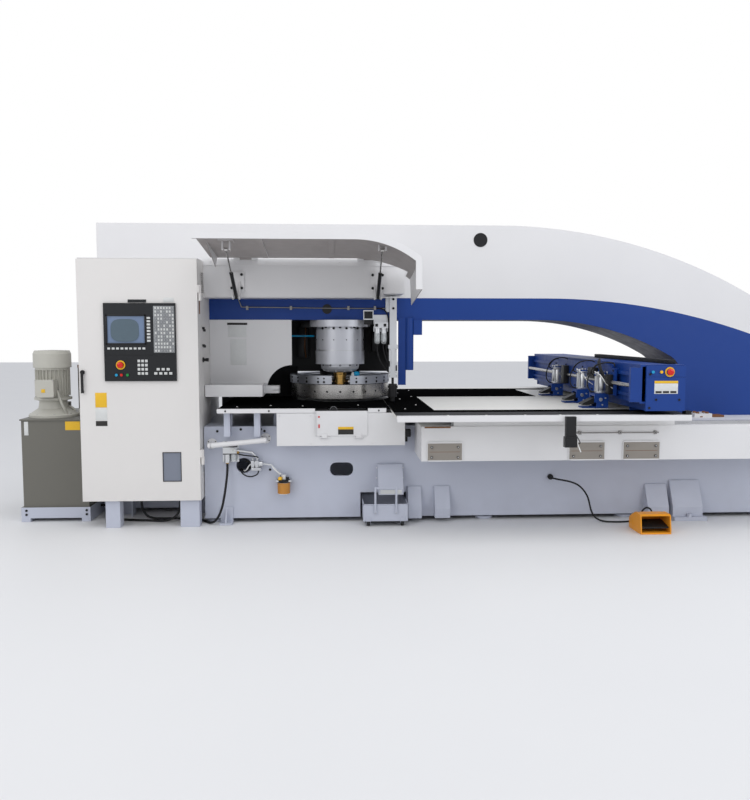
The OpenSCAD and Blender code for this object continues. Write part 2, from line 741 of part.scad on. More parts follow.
// height of the hood's outer face over x
function panel_height(x) = x <= hood_flat ? 0 : sqrt(pow(hood_curve, 2) - pow(x - hood_flat, 2)) - hood_curve;
module hood_eye(x) {
  side(x, x + 8) union() {
    translate(strut_up_local) circle(r = 14);
    translate(strut_up_local - [14, 0]) square([28, panel_height(x + 8) - strut_up_local[1] - 1]);
  }
}
module hood_eye_plate(x) {
  block([x - 45, strut_up_local[0] - 40, -hood_t - 5], [x + 45, strut_up_local[0] + 40, -hood_t + eps]);
}

// Gas strut: local Z runs from the lower eye to the upper eye.
strut_vec = [strut_up[0] - strut_low[0], strut_up[1] - strut_low[1]];
strut_len = norm(strut_vec);
strut_lean = atan2(-strut_vec[0], strut_vec[1]);
strut_tube_l = 300;
strut_piston = 8;
module strut_at(x) {
  translate([x, strut_low[0], strut_low[1]]) rotate([strut_lean, 0, 0]) children();
}
module strut_tube(x) color("black") strut_at(x) {
  difference() {
    union() {
      translate([-10, 0, 0]) rotate([0, 90, 0]) cylinder(d = 24, h = 20);
      cylinder(d = 12, h = 30);
      up(28) cylinder(d = 24, h = strut_tube_l - 28);
    }
    translate([-30, 0, 0]) rotate([0, 90, 0]) cylinder(d = strut_pin_d + 2 * run_gap, h = 60);
    up(32) cylinder(d = 18, h = strut_tube_l - 32 - 8);
    up(40) cylinder(d = 10 + 2 * run_gap, h = strut_tube_l);
  }
}
module strut_rod(x) color(steel) strut_at(x) {
  difference() {
    union() {
      up(strut_tube_l - 18) cylinder(d = 10, h = strut_len - strut_tube_l + 8);
      up(strut_tube_l - 18) cylinder(d = 17.9, h = strut_piston);
      translate([-10, 0, strut_len]) rotate([0, 90, 0]) cylinder(d = 24, h = 20);
    }
    translate([-30, 0, strut_len]) rotate([0, 90, 0]) cylinder(d = strut_pin_d + 1, h = 60);
  }
}
module strut_tube_left() strut_tube(strut_x[0]);
module strut_tube_right() strut_tube(strut_x[1]);
module strut_rod_left() strut_rod(strut_x[0]);
module strut_rod_right() strut_rod(strut_x[1]);

turret_y = station_r - ram_front;
upper_top = upper_z + upper_t;
flange_z = 1335;
gland_z = 1064;
gland_low = 1004;
piston_d = 240;
head_stand = 35;
tool_d = 48;
active_d = 82;
bearing_d = 170;

module ram_cylinder() color(steel) translate([0, -ram_front, 0]) difference() {
  union() {
    intersection() {
      up(flange_z) cylinder(d = ram_flange_d, h = throat_top - flange_z);
      block([-400, -400, flange_z - 1], [400, turret_y + ram_front - bearing_d / 2 - 10, throat_top + 1]);
    }
    up(gland_z) cylinder(d = ram_d, h = flange_z - gland_z);
    up(gland_z) cylinder(d = ram_d + 8, h = 96);
    // gland ring with its rounded nose
    rotate_extrude() polygon([
      [0, gland_low], [96, gland_low], [120, gland_low + 8], [136, gland_low + 24],
      [141, gland_low + 40], [141, gland_z], [0, gland_z]]);
  }
  up(gland_z + 30) cylinder(d = piston_d, h = flange_z - gland_z - 20);
  up(gland_low - 1) cylinder(d = rod_d + 2 * run_gap, h = 200);
  // bolt heads' counterbores in the gland and lower holes
  for (i = [0 : 11]) rotate(i * 30 + 15) translate([122, 0, gland_low - 1]) cylinder(d = 14, h = 40);
}

striker_z = upper_top + head_stand + 10;
counterbore = ram_stroke + 4;
module ram_rod() color("darkgoldenrod") translate([0, -ram_front, 0]) {
  up(striker_z + 12) cylinder(d = rod_d, h = gland_z + 110 - striker_z);
  up(striker_z) cylinder(d = active_d + 2, h = 12 + eps);
  up(gland_z + 76) cylinder(d = piston_d - 2 * run_gap, h = 60);
}

tip_d = 24;
module turret_holes(d, z0, h) {
  for (i = [0 : stations - 1]) rotate(i * 360 / stations - 90)
    translate([station_r, 0, z0]) cylinder(d = d, h = h);
}

// Upper disc with its tool holders: fitted at every second station.
module upper_turret() color(steel) translate([0, turret_y, 0]) {
  difference() {
    union() {
      up(upper_z) cylinder(r = turret_r, h = upper_t, $fn = 128);
      up(upper_top - eps) cylinder(d = 190, h = 24);
      up(upper_top) cylinder(d = spindle_d, h = 300);
    }
    // empty stations are open bores, the struck one guides its punch
    for (i = [0 : 2 : stations - 1]) rotate(i * 360 / stations - 90)
      translate([station_r, 0, upper_z - 1]) cylinder(d = tool_d + 2 * run_gap, h = upper_t + 40);
    // the struck station's recess takes the punch's wide head
    rotate(-90) translate([station_r, 0, upper_top - counterbore]) cylinder(d = active_d + 2, h = 100);
    // radial lock screws round the rim
    for (i = [0 : stations - 1]) rotate([0, 0, i * 360 / stations - 90])
      translate([turret_r - 18, 0, upper_z + upper_t / 2]) rotate([0, 90, 0]) cylinder(d = 15, h = 20);
    // bushes that the locating pin drops into
    for (i = [0 : stations - 1]) rotate(i * 360 / stations + 90)
      translate([pin_r, 0, upper_top - 40]) cylinder(d = pin_d + 2 * run_gap, h = 80);
  }
  for (i = [1 : 2 : stations - 1]) rotate(i * 360 / stations - 90) translate([station_r, 0, upper_top - eps]) {
    cylinder(d = tool_d - 10, h = 14);
    up(14) cylinder(d = tool_d, h = head_stand - 14);
  }
}
spindle_d = 100;
housing_z = upper_top + 60;
pin_r = 130;
pin_d = 20;
pin_low = upper_top + 6;

module active_punch() color("goldenrod") translate([0, -ram_front, 0]) {
  up(upper_top) cylinder(d = active_d, h = striker_z - face_gap - upper_top);
  up(upper_z + 2) cylinder(d = tool_d, h = upper_t);
  up(upper_z) cylinder(d = tip_d, h = 3);
}

lower_top = table_z;
module lower_turret() color(steel) translate([0, turret_y, 0]) difference() {
  union() {
    up(lower_top - lower_t) cylinder(r = turret_r, h = lower_t, $fn = 128);
    up(bed_top + 3) cylinder(d = 150, h = lower_top - lower_t - bed_top);
    up(bed_top - 60) cylinder(d = spindle_d, h = 100);
  }
  turret_holes(tool_d + 4, lower_top - lower_t - 1, lower_t + 2);
}

module turret_housings() color(black) {
  housings();
  // dark sheet that closes the throat behind the head
  block([plate_x0, half_t - 12, 990], [418, half_t - 4, throat_top]);
  block([410, -40, 1080], [418, half_t - 4, throat_top]);
}

module housings() translate([0, turret_y, 0]) {
  difference() {
    union() {
      up(housing_z) cylinder(d = bearing_d, h = throat_top - housing_z);
      up(housing_z) cylinder(r = pin_r + 24, h = 26);
      // barrel of the locating pin's cylinder
      rotate(90) translate([pin_r, 0, housing_z]) cylinder(d = 44, h = 150);
    }
    up(housing_z - 1) cylinder(d = spindle_d + 2 * run_gap, h = 250);
    rotate(90) translate([pin_r, 0, housing_z - 10]) cylinder(d = pin_d + 2 * run_gap, h = 140);
  }
  difference() {
    up(bed_top) cylinder(d = 260, h = 2.5);
    up(bed_top - 1) cylinder(d = spindle_d + 2 * run_gap, h = 10);
  }
  difference() {
    up(bed_top - bed_wall - 85) cylinder(d = 184, h = 85);
    up(bed_top - 61) cylinder(d = spindle_d + 2 * run_gap, h = 80);
  }
}

module index_pin() color(steel) translate([0, turret_y + pin_r, pin_low]) {
  cylinder(d = pin_d, h = 140);
}

// Guard ring round the upper turret, open at the ram, on four arms under the housing.
guard_inner_r = turret_r - 46;
module turret_guards() color(white) translate([0, turret_y, 0]) {
  difference() {
    up(upper_top + 4) cylinder(r = turret_r + 8, h = 62, $fn = 128);
    up(upper_top) cylinder(r = guard_inner_r, h = 80, $fn = 128);
    block([-62, -turret_r - 20, upper_top], [72, -200, upper_top + 90]);
  }
  for (a = [40, 140, 205, 335]) rotate(a)
    block([110, -20, housing_z - 6], [guard_inner_r + 5, 20, housing_z]);
}

// Valve block and the two filters on the frame, right of the ram.
module air_set() color(steel) {
  block([166, -half_t - 49, 1384], [238, -half_t, 1452]);
  block([240, -half_t - 6, 1300], [345, -half_t, 1420]);
  block([244, -half_t - 58, 1325], [342, -half_t - 6, 1366]);
  for (x = [266, 314]) translate([x, -half_t - 33, 1228]) {
    cylinder(d = 40, h = 90);
    up(88) cylinder(d = 44, h = 10);
  }
}

throat_cut_r = 180;
plate_x0 = cab_x1 + 1;
plate_x1 = -347;
plate_z0 = 900;
plate_t = 6;

// White sheet that closes the throat left of the head, with a quarter round cut-out.
module throat_plate() color(white) {
  slab(-half_t - plate_t, -half_t) difference() {
    translate([plate_x0, plate_z0]) square([plate_x1 - plate_x0, throat_top - plate_z0]);
    translate([plate_x1, 880]) circle(r = throat_cut_r);
  }
  block([plate_x0, -half_t - eps, throat_top - plate_t], [plate_x1, -half_t + 90, throat_top]);
}

tray_x = [-925, -535];
tray_y0 = -560;
tray_z = [855, 936];
module tool_tray() color(white) {
  difference() {
    block([tray_x[0], tray_y0, tray_z[0]], [tray_x[1], -half_t - plate_t, tray_z[1]]);
    block([tray_x[0] + 5, tray_y0 + 5, tray_z[0] + 5],
          [tray_x[1] - 5, -half_t - plate_t - 5, tray_z[1] + 1]);
  }
  // rounded rest beside the tray
  translate([tray_x[1], -420, 868]) difference() {
    union() {
      block([-eps, 0, 0], [90, 110, 50]);
      translate([90, 0, 0]) block([0, 12, 0], [14, 98, 50]);
      for (y = [14, 96]) translate([90, y, 0]) cylinder(r = 14, h = 50);
    }
    block([60, -10, 20], [120, 120, 24]);
  }
}

foot_x = 377;
foot_y = -half_t - 34;
foot_top = 1550;
foot_rod_low = 798;
holder_top = 925;
cyl_z = [971, 1156];

// Holder, square bar and air cylinder of the foot that clamps the sheet.
module reposition_unit() color("gainsboro") {
  air_set();
  block([foot_x - 50, -half_t - 16, 1440], [foot_x - 24, -half_t, foot_top]);
  for (z = [1465, 1530]) rod_y([foot_x - 38, -half_t - 20, z], 18, 5);
  difference() {
    block([foot_x - 24, foot_y - 30, 1206], [foot_x + 26, -half_t, foot_top]);
    for (z = [1465, 1530]) rod_y([foot_x + 2, foot_y - 31, z], 18, 12);
  }
  block([foot_x - 34, foot_y - 36, 1178], [foot_x + 34, -half_t - 2, 1206]);
  difference() {
    union() {
      block([foot_x - 28, foot_y - 28, cyl_z[0] + 26], [foot_x + 28, foot_y + 28, cyl_z[1] + 22]);
      block([foot_x - 33, foot_y - 33, cyl_z[0]], [foot_x + 33, foot_y + 33, cyl_z[0] + 28]);
    }
    translate([foot_x, foot_y, cyl_z[0] - 1]) cylinder(d = 18 + 2 * run_gap, h = 60);
    translate([foot_x, foot_y, cyl_z[0] + 30]) cylinder(d = 40, h = 110);
    // profile grooves of the cylinder's barrel
    for (s = [-1, 1]) block([foot_x + s * 14 - 4, foot_y - 29, cyl_z[0] + 40],
                            [foot_x + s * 14 + 4, foot_y - 24, cyl_z[1] + 10]);
  }
}

module reposition_rod() color(black) translate([foot_x, foot_y, 0]) {
  up(holder_top - eps) cylinder(d = 18, h = cyl_z[0] + 60 - holder_top);
  translate([0, 0, cyl_z[0] + 40]) cylinder(d = 39.8, h = 20);
  up(foot_rod_low + 34) cylinder(d = 62, h = holder_top - foot_rod_low - 34);
  up(holder_top - 30) cylinder(d = 74, h = 18);
  rotate_extrude() polygon([
    [0, foot_rod_low], [14, foot_rod_low], [16, foot_rod_low + 3], [16, foot_rod_low + 35],
    [0, foot_rod_low + 35]]);
}

// Blue guard for the hoses that come down beside the head.
module hose_guard() color(machine_blue) {
  block([418, -half_t - 12, 915], [474, -half_t, 1398]);
  difference() {
    union() {
      translate([500, -half_t - 2, 1023]) cylinder(d = 60, h = 375);
      block([470, -half_t - 12, 1023], [478, -half_t, 1398]);
    }
    translate([500, -half_t - 2, 1022]) cylinder(d = 50, h = 377);
    block([470, -half_t, 1000], [540, -half_t + 40, 1400]);
  }
  difference() {
    block([528, -half_t - 22, 1276], [590, -half_t + 60, throat_top]);
    block([536, -half_t - 14, 1275], [582, -half_t + 52, throat_top - 8]);
  }
}

cover_x = [-425, 425];
cover_z = [545, 762];
cover_y0 = -790;
door_x = [-170, 176];
door_z = [598, 777];
trim_z = [764, table_z];
access_t = 3;
access_axis = [cover_y0 - 8, door_z[0] + 4];
door_pins = [door_x[0] + 60, door_x[1] - 60];

// Box under the turret with the die access opening, and the white trims over it.
module front_cover() color(white) {
  handrail();
  difference() {
    block([cover_x[0], cover_y0, cover_z[0]], [cover_x[1], -bed_half, cover_z[1]]);
    block([cover_x[0] + 4, cover_y0 + 4, cover_z[0] + 4], [cover_x[1] - 4, -bed_half + 1, cover_z[1] - 4]);
    block([door_x[0] + 6, cover_y0 - 1, door_z[0] + 14], [door_x[1] - 6, cover_y0 + 5, cover_z[1] + 1]);
    block([door_x[0] + 6, cover_y0 - 1, cover_z[1] - 5], [door_x[1] - 6, cover_y0 + 60, cover_z[1] + 1]);
  }
  // trims along the front edge of the centre table
  block([-815, -centre_front - 10, trim_z[0]], [door_x[0] - 2, -centre_front, trim_z[1]]);
  block([door_x[1] + 2, -centre_front - 10, trim_z[0]], [300, -centre_front, trim_z[1]]);
  block([-815, -centre_front, trim_z[0]], [door_x[0] - 2, -centre_front + 60, trim_z[0] + 5]);
  block([door_x[1] + 2, -centre_front, trim_z[0]], [300, -centre_front + 60, trim_z[0] + 5]);
  // hinge pins of the access door
  for (x = door_pins) {
    rod_x([x - 30, access_axis[0], access_axis[1]], 6, 60);
    for (s = [-1, 1]) block([x + s * 26 - 4, access_axis[0] - 5, access_axis[1] - 5],
                            [x + s * 26 + 4, cover_y0 + eps, access_axis[1] + 5]);
  }
}

module access_door() color(white) difference() {
  union() {
    block([door_x[0], cover_y0 - 1 - access_t, door_z[0] + 12], [door_x[1], cover_y0 - 1, door_z[1]]);
    for (x = door_pins) {
      rod_x([x - 20, access_axis[0], access_axis[1]], 12, 40);
      block([x - 20, cover_y0 - 4 - access_t, access_axis[1]],
            [x + 20, cover_y0 - 1 - access_t, door_z[0] + 30]);
    }
    // folded pull edge at the left
    block([door_x[0], cover_y0 - 14, door_z[0] + 12], [door_x[0] + 3, cover_y0 - 1, door_z[1]]);
  }
  for (x = door_pins)
    rod_x([x - 40, access_axis[0], access_axis[1]], 6 + 2 * run_gap, 80);
}

centre_x = [-815, 326];
plate_z = [table_z - 18, table_z - 8];
well_r = turret_r + 6;
module centre_table() color(black) {
  difference() {
    block([centre_x[0], -centre_front, plate_z[0]], [centre_x[1], table_half - 500, plate_z[1]]);
    translate([0, turret_y, plate_z[0] - 1]) cylinder(r = well_r, h = 30, $fn = 128);
    block([door_x[0] + 6, -centre_front - 1, plate_z[0] - 1],
          [door_x[1] - 6, -centre_front + 50, plate_z[1] + 1]);
  }
  // supports that stand on the bed
  for (x = [-760, -440, 270], y = [-560, 560])
    block([x - 20, y - 20, bed_top], [x + 20, y + 20, plate_z[0]]);
  for (x = [-760, -560]) block([x - 20, -centre_front + 60, bed_top - 60], [x + 20, -bed_half, plate_z[0]]);
  // knurled knob of the sheet stop at the front
  translate([-50, -centre_front + 30, plate_z[0]]) {
    block([-30, 18, 0], [30, 50, 8]);
    block([-6, 0, 0], [6, 20, 8]);
    rod_y([0, -22, 6], 46, 24);
  }
}

side_x0 = 331;
white_x0 = 600;
brush_far = 180;
slot_x = [beam_x - beam_travel - 116, table_right - 20];
slots = [-slot_y, slot_y];
lip_half = 58;
// The two side tables: near and far halves are mirrored, with a slot for the beam's arm.
module side_tables() color(white) {
  difference() {
    block([side_x0, -table_half, plate_z[0]], [table_right, table_half, plate_z[1]]);
    for (y = slots)
      block([slot_x[0], y - slot_w / 2, plate_z[0] - 1], [slot_x[1], y + slot_w / 2, plate_z[1] + 1]);
    translate([0, turret_y, plate_z[0] - 1]) cylinder(r = well_r, h = 30, $fn = 128);
  }
  for (m = [0, 1]) mirror([0, m, 0]) {
    // front lip, a folded channel
    block([side_x0, -table_half, table_z - 38], [table_right, -table_half + 4, table_z - 2]);
    block([side_x0, -table_half, table_z - 6], [table_right, -slot_y - lip_half, table_z - 2]);
    block([side_x0, -table_half + 4, table_z - 38], [table_right, -table_half + 40, table_z - 34]);
    // brackets down to the guide beams
    for (x = [slot_x[0] + 80, 1400, table_right - 80])
      block([x - 20, -slot_y - 54, guide_top], [x + 20, -slot_y - 46, plate_z[0]]);
  }
  // smooth plate behind the near slot
  block([white_x0, -slot_y + lip_half, plate_z[1] - eps], [table_right, brush_far, table_z - 2]);
  block([1550, brush_far - eps, plate_z[1] - eps], [table_right, slot_y - lip_half, table_z - 2]);
  // posts on the bed
  for (x = [420, 1000, table_right - 440], y = [-560, 560])
    block([x - 20, y - 20, bed_top], [x + 20, y + 20, plate_z[0]]);
}

// Brush fields: pads full of bristle tips, with the slots between them.
module brush_strips() color("black") {
  z = [plate_z[1], table_z];
  difference() {
    block([centre_x[0] + 2, -centre_front + 2, z[0]], [centre_x[1] - 2, table_half - 502, z[1]]);
    translate([0, turret_y, z[0] - 1]) cylinder(r = well_r + 2, h = 30, $fn = 128);
    block([-86, -centre_front, z[0] - 1], [door_x[1] - 6, -centre_front + 86, z[1] + 1]);
    block([door_x[0] + 6, -centre_front, z[0] - 1], [door_x[1] - 6, -centre_front + 50, z[1] + 1]);
  }
  difference() {
    union() {
      block([side_x0 + 2, -slot_y + lip_half, z[0]], [white_x0, slot_y - lip_half, z[1]]);
      block([white_x0 - eps, brush_far, z[0]], [1550, slot_y - lip_half, z[1]]);
    }
    translate([0, turret_y, z[0] - 1]) cylinder(r = well_r + 2, h = 30, $fn = 128);
  }
  for (y = slots, s = [-1, 1]) translate([0, y + s * (slot_w / 2 + lip_half) / 2, 0])
    block([side_x0 + 2, slot_w / 4 - lip_half / 2, z[0]], [table_right, lip_half / 2 - slot_w / 4, z[1]]);
}

guide_x0 = 505;
guide_y0 = -1060;
guide_top = 700;
guide_low = 478;
// Box beams at both sides of the bed that carry the feed beam's rails.
module guide_beams() color(white) {
  for (m = [0, 1]) mirror([0, m, 0]) difference() {
    block([guide_x0, guide_y0, guide_low], [bed_right, -bed_half, guide_top]);
    block([guide_x0 + 12, guide_y0 + 12, guide_low + 12], [bed_right + 1, -bed_half - 12, guide_top - 12]);
  }
  // cover sheet between the near beam and the table
  block([710, guide_y0 + 6, guide_top - eps], [table_right, guide_y0 + 9, table_z - 38]);
  // bolted pads on the near beam
  for (x = [[539, 767], [1448, 1685], [1799, 2044]]) {
    slab(guide_y0 - 10, guide_y0) translate([(x[0] + x[1]) / 2, 540]) round_rect(x[1] - x[0], 124, 16);
    for (sx = [30, x[1] - x[0] - 30], z = [505, 570])
      rod_y([x[0] + sx, guide_y0 - 16, z], 14, 7);
  }
  // machined seat under the frame's right column and its bolted foot
  block([2417, -bed_half, bed_top], [3050, -half_t - 1, bed_top + 22]);
  block([2560, -half_t - 150, bed_top + 22], [2690, -half_t - 1, bed_top + 48]);
}

rail_w = 24;
module beam_rails() color(steel) for (y = slots) translate([0, y, guide_top]) {
  block([slot_x[0], -rail_w / 2, 0], [3040, rail_w / 2, 24]);
  for (x = [slot_x[0], 3010]) block([x, -30, 0], [x + 30, 30, 34]);
}

// Limit switch under the front lip, and the stop block on the lip's right end.
module limit_sensor() color(black) {
  block([table_right - 36, -table_half + 6, table_z - 2], [table_right, -table_half + 60, table_z + 22]);
  block([1352, -table_half - 30, 662], [1414, -table_half, 786]);
  block([1346, -table_half - 36, 600], [1420, -table_half + 6, 664]);
}

// Pipe along the blue band and the lubrication pipe on the near guide beam, with clips.
module lube_pipes() color(steel) {
  z = 1466;
  y = -half_t - 10;
  bent_rod([[-720, y, z + 60], [-700, y, z + 8], [-40, y, z], [foot_x - 50, y, z]], 8);
  for (x = [-660, -350, 60, 250]) block([x - 8, -half_t - 16, z - 12], [x + 8, -half_t, z + 16]);
  gy = guide_y0 - 8;
  bent_rod([[1490, gy, 655], [2030, gy, 655], [2030, guide_y0, 655]], 7);
  for (x = [1520, 1780, 2010]) block([x - 8, guide_y0 - 14, 645], [x + 8, guide_y0, 667]);
}

serv_y = -bed_half;
// Air service unit, shut-off valve and drip oiler on the bed, with the white handrail.
module service_unit() color(steel) {
  // filter regulator
  block([-800, serv_y - 8, 420], [-690, serv_y, 560]);
  block([-790, serv_y - 60, 480], [-700, serv_y - 8, 530]);
  translate([-766, serv_y - 36, 420]) cylinder(d = 42, h = 62);
  translate([-722, serv_y - 36, 430]) cylinder(d = 38, h = 52);
  translate([-766, serv_y - 36, 528]) cylinder(d = 34, h = 30);
  // pressure gauge
  rod_y([-722, serv_y - 78, 506], 34, 20);
  // ball valve with its pipe
  bent_rod([[-700, serv_y - 36, 500], [-600, serv_y - 36, 486], [-560, serv_y - 36, 440]], 18);
  rod_x([-600, serv_y - 36, 410], 44, 70);
  block([-590, serv_y - 40, 410], [-545, serv_y, 418]);
  bent_rod([[-535, serv_y - 36, 410], [-470, serv_y - 36, 400], [-410, serv_y - 36, 330]], 12);
  // oil cup on its bracket
  block([-440, serv_y - 70, 290], [-335, serv_y, 300]);
  translate([-388, serv_y - 42, 204]) cylinder(d = 82, h = 86);
  translate([-388, serv_y - 42, 298]) cylinder(d = 40, h = 40);
}

// White handrail on the bed's front, left of the cover box.
rail_y = -bed_half - 110;
module handrail() {
  bent_rod([[-870, -bed_half, 545], [-870, rail_y, 545], [-510, rail_y, 578], [-510, -bed_half, 578]], 34);
  for (p = [[-870, 545], [-510, 578]]) rod_y([p[0], -bed_half - 6, p[1]], 70, 6);
}

chute_out = 130;
// Slug chute: a tapered spout on the bed's front face.
module scrap_chute() color(white) {
  x0 = chute_x[0];
  x1 = chute_x[1];
  profile = [[0, chute_z[1]], [-26, chute_z[1]], [-chute_out, chute_z[0] + 40],
             [-chute_out, chute_z[0]], [0, chute_z[0]]];
  translate([0, -bed_half, 0]) difference() {
    side(x0, x1) polygon(profile);
    side(x0 + 5, x1 - 5) polygon([[1, chute_z[1] - 6], [-22, chute_z[1] - 6], [-chute_out + 6, chute_z[0] + 38],
               [-chute_out + 6, chute_z[0] - 1], [1, chute_z[0] - 1]]);
  }
  // side flanges bolted to the bed
  for (x = [x0 - 14, x1 - eps]) block([x, -bed_half - 4, chute_z[0]], [x + 14, -bed_half, chute_z[1]]);
}

cart_x = [146, 444];
cart_y = [-808, -450];
cart_z = [36, 150];
wheel_d = 50;
axle_d = 12;
axle_y = [-780, -478];
wheel_x = [cart_x[0] + 34, cart_x[1] - 34];
// Slug cart with its bent handle and rigid castor forks.
module scrap_cart() color("gainsboro") {
  difference() {
    block([cart_x[0], cart_y[0], cart_z[0]], [cart_x[1], cart_y[1], cart_z[1]]);
    block([cart_x[0] + 4, cart_y[0] + 4, cart_z[0] + 4], [cart_x[1] - 4, cart_y[1] - 4, cart_z[1] + 1]);
    for (y = axle_y, x = wheel_x)
      block([x - 13, y - 30, cart_z[0] - 1], [x + 13, y + 30, cart_z[0] + 22]);
  }
  // wells over the wheels
  for (y = axle_y, x = wheel_x) difference() {
    block([x - 16, y - 33, cart_z[0]], [x + 16, y + 33, cart_z[0] + 25]);
    block([x - 13, y - 30, cart_z[0] - 1], [x + 13, y + 30, cart_z[0] + 22]);
  }
  for (y = axle_y, x = wheel_x, s = [-1, 1]) difference() {
    block([x + s * 14.5 - 1.5, y - 14, wheel_d / 2 - 9], [x + s * 14.5 + 1.5, y + 14, cart_z[0] + 6]);
    rod_x([x - 40, y, wheel_d / 2], axle_d + 2 * run_gap, 80);
  }
  // handle: two uprights and a cross bar
  hx = [226, 366];
  bent_rod([[hx[0], cart_y[0] - 8, 96], [hx[0], cart_y[0] - 8, 262], [hx[1], cart_y[0] - 8, 262],
            [hx[1], cart_y[0] - 8, 96]], 14);
  for (x = hx) block([x - 10, cart_y[0] - 12, 90], [x + 10, cart_y[0] + eps, 112]);
}

module wheel_pair(y) color(black) {
  rod_x([cart_x[0] + 14, y, wheel_d / 2], axle_d, cart_x[1] - cart_x[0] - 28);
  for (x = wheel_x) translate([x, y, wheel_d / 2]) rotate([0, 90, 0])
    rotate_extrude() polygon([
      [0, -11], [wheel_d / 2 - 3, -11], [wheel_d / 2, -8], [wheel_d / 2, 8], [wheel_d / 2 - 3, 11], [0, 11]]);
}
module cart_wheels_front() wheel_pair(axle_y[0]);
module cart_wheels_rear() wheel_pair(axle_y[1]);

pedal_x = 1917;
pedal_y = -1110;
pedal_w = 200;
pedal_axis = [pedal_y + 150, 52];
// Yellow foot switch housing: a hood over the pedal, open towards the operator.
module pedal_housing() color("gold") {
  x1 = pedal_x + pedal_w;
  difference() {
    side(pedal_x, x1) polygon([
      [pedal_y, 0], [pedal_y, 30], [pedal_y + 14, pedal_h - 8], [pedal_y + 30, pedal_h],
      [pedal_y + 110, pedal_h], [pedal_y + pedal_l, 78], [pedal_y + pedal_l + 10, 60],
      [pedal_y + pedal_l + 10, 0]]);
    side(pedal_x + 7, x1 - 7) polygon([
      [pedal_y - 1, 10], [pedal_y - 1, pedal_h - 12], [pedal_y + 34, pedal_h - 7],
      [pedal_y + 106, pedal_h - 7], [pedal_y + pedal_l - 12, 74], [pedal_y + pedal_l - 12, 10]]);
    rod_y([pedal_x + pedal_w / 2, pedal_y + pedal_l - 20, 40], pedal_cord_d + 0.4, 60);
  }
  // pedal shaft across the housing
  rod_x([pedal_x + 1, pedal_axis[0], pedal_axis[1]], 12, pedal_w - 2);
  // threaded cord entry
  difference() {
    rod_y([pedal_x + pedal_w / 2, pedal_y + pedal_l + 10 - eps, 40], 26, 14);
    rod_y([pedal_x + pedal_w / 2, pedal_y + pedal_l, 40], pedal_cord_d + 0.4, 40);
  }
}

module foot_pedal() color(black) difference() {
  side(pedal_x + 12, pedal_x + pedal_w - 12) polygon([
    [pedal_y + 18, 34], [pedal_y + 18, 44], [pedal_y + 130, 66], [pedal_y + 150, 66],
    [pedal_y + 164, 58], [pedal_y + 164, 44], [pedal_y + 140, 40]]);
  rod_x([pedal_x, pedal_axis[0], pedal_axis[1]], 12 + 2 * run_gap, pedal_w);
  // grip grooves across the tread
  for (i = [0 : 7]) translate([pedal_x, pedal_y + 28 + i * 12, 45.5 + i * 2.35]) rotate([11, 0, 0])
    cube([pedal_w, 4, 3]);
}

pedal_cord_d = 12;
hose_d = 16;

// A tube swept along points, as one closed solid.
function unit(v) = v / norm(v);
function tangent(p, i) = unit(p[min(i + 1, len(p) - 1)] - p[max(i - 1, 0)]);
function side_of(t) = abs(t[2]) > 0.94 ? unit(cross(t, [0, 1, 0])) : unit(cross(t, [0, 0, 1]));
module tube(p, d, n = 8) {
  last = len(p) - 1;
  points = [for (i = [0 : last]) let (t = tangent(p, i), a = side_of(t), b = cross(t, a))
    for (k = [0 : n - 1]) p[i] + (a * cos(k * 360 / n) + b * sin(k * 360 / n)) * d / 2];
  sides = [for (i = [0 : last - 1], k = [0 : n - 1])
    [i * n + k, i * n + (k + 1) % n, (i + 1) * n + (k + 1) % n, (i + 1) * n + k]];
  start = [for (k = [n - 1 : -1 : 0]) k];
  end = [for (k = [0 : n - 1]) last * n + k];
  polyhedron(points = points, faces = concat([start], [end], sides));
}

// A smooth run through the route's points: quarter steps of a Catmull-Rom curve.
function blend4(a, b, c, d, t) = 0.5 * ((2 * b) + (c - a) * t + (2 * a - 5 * b + 4 * c - d) * t * t
  + (3 * b - a - 3 * c + d) * t * t * t);
function smooth(p, steps) = concat([for (i = [0 : len(p) - 2], j = [0 : steps - 1])
  blend4(p[max(i - 1, 0)], p[i], p[i + 1], p[min(i + 2, len(p) - 1)], j / steps)], [p[len(p) - 1]]);

cord_route = [
  [1449, -640, 297], [1449, -660, 297], [1449, -678, 297], [1455, -706, 297], [1477, -736, 295], [1516, -753, 290],
  [1564, -754, 279], [1612, -752, 258], [1652, -749, 222], [1682, -746, 176], [1698, -744, 126],
  [1710, -744, 80], [1730, -748, 40], [1766, -756, 14], [1814, -770, 6], [1872, -782, 6],
  [1934, -780, 6], [1990, -764, 6], [2044, -750, 6], [2084, -752, 9], [2110, -768, 28],
  [2118, -786, 60], [2104, -800, 92], [2074, -810, 108], [2044, -820, 96], [2026, -832, 72],
  [2018, -850, 50], [2017, -874, 41], [2017, -900, 40]
];
hose_route = [
  [-766, -676, 420], [-766, -676, 400], [-766, -676, 380], [-768, -690, 330], [-774, -706, 270],
  [-784, -716, 200],  [-798, -722, 130], [-818, -724, 74], [-848, -712, 30], [-886, -676, 10], [-922, -628, 8],
  [-966, -582, 8], [-1040, -546, 8], [-1120, -530, 8], [-1210, -524, 8], [-1290, -522, 9],
  [-1340, -521, 26], [-1370, -520, 70], [-1380, -520, 130], [-1380, -520, 180]
];
cable_route = [
  [-1100, -600, 180], [-1100, -600, 140], [-1104, -606, 96], [-1122, -612, 52], [-1160, -610, 22],
  [-1220, -600, 9], [-1300, -586, 8], [-1400, -568, 8], [-1490, -546, 8], [-1564, -514, 8],
  [-1608, -474, 8], [-1635, -430, 8], [-1649, -386, 13], [-1657, -354, 27], [-1662, -329, 43],
  [-1669, -314, 52], [-1683, -304, 57], [-1700, -300, 58], [-1719.7, -300, 58]
];
module pedal_cord() color(black) tube(smooth(cord_route, 3), pedal_cord_d);
module air_hose() color(black) tube(smooth(hose_route, 3), hose_d);
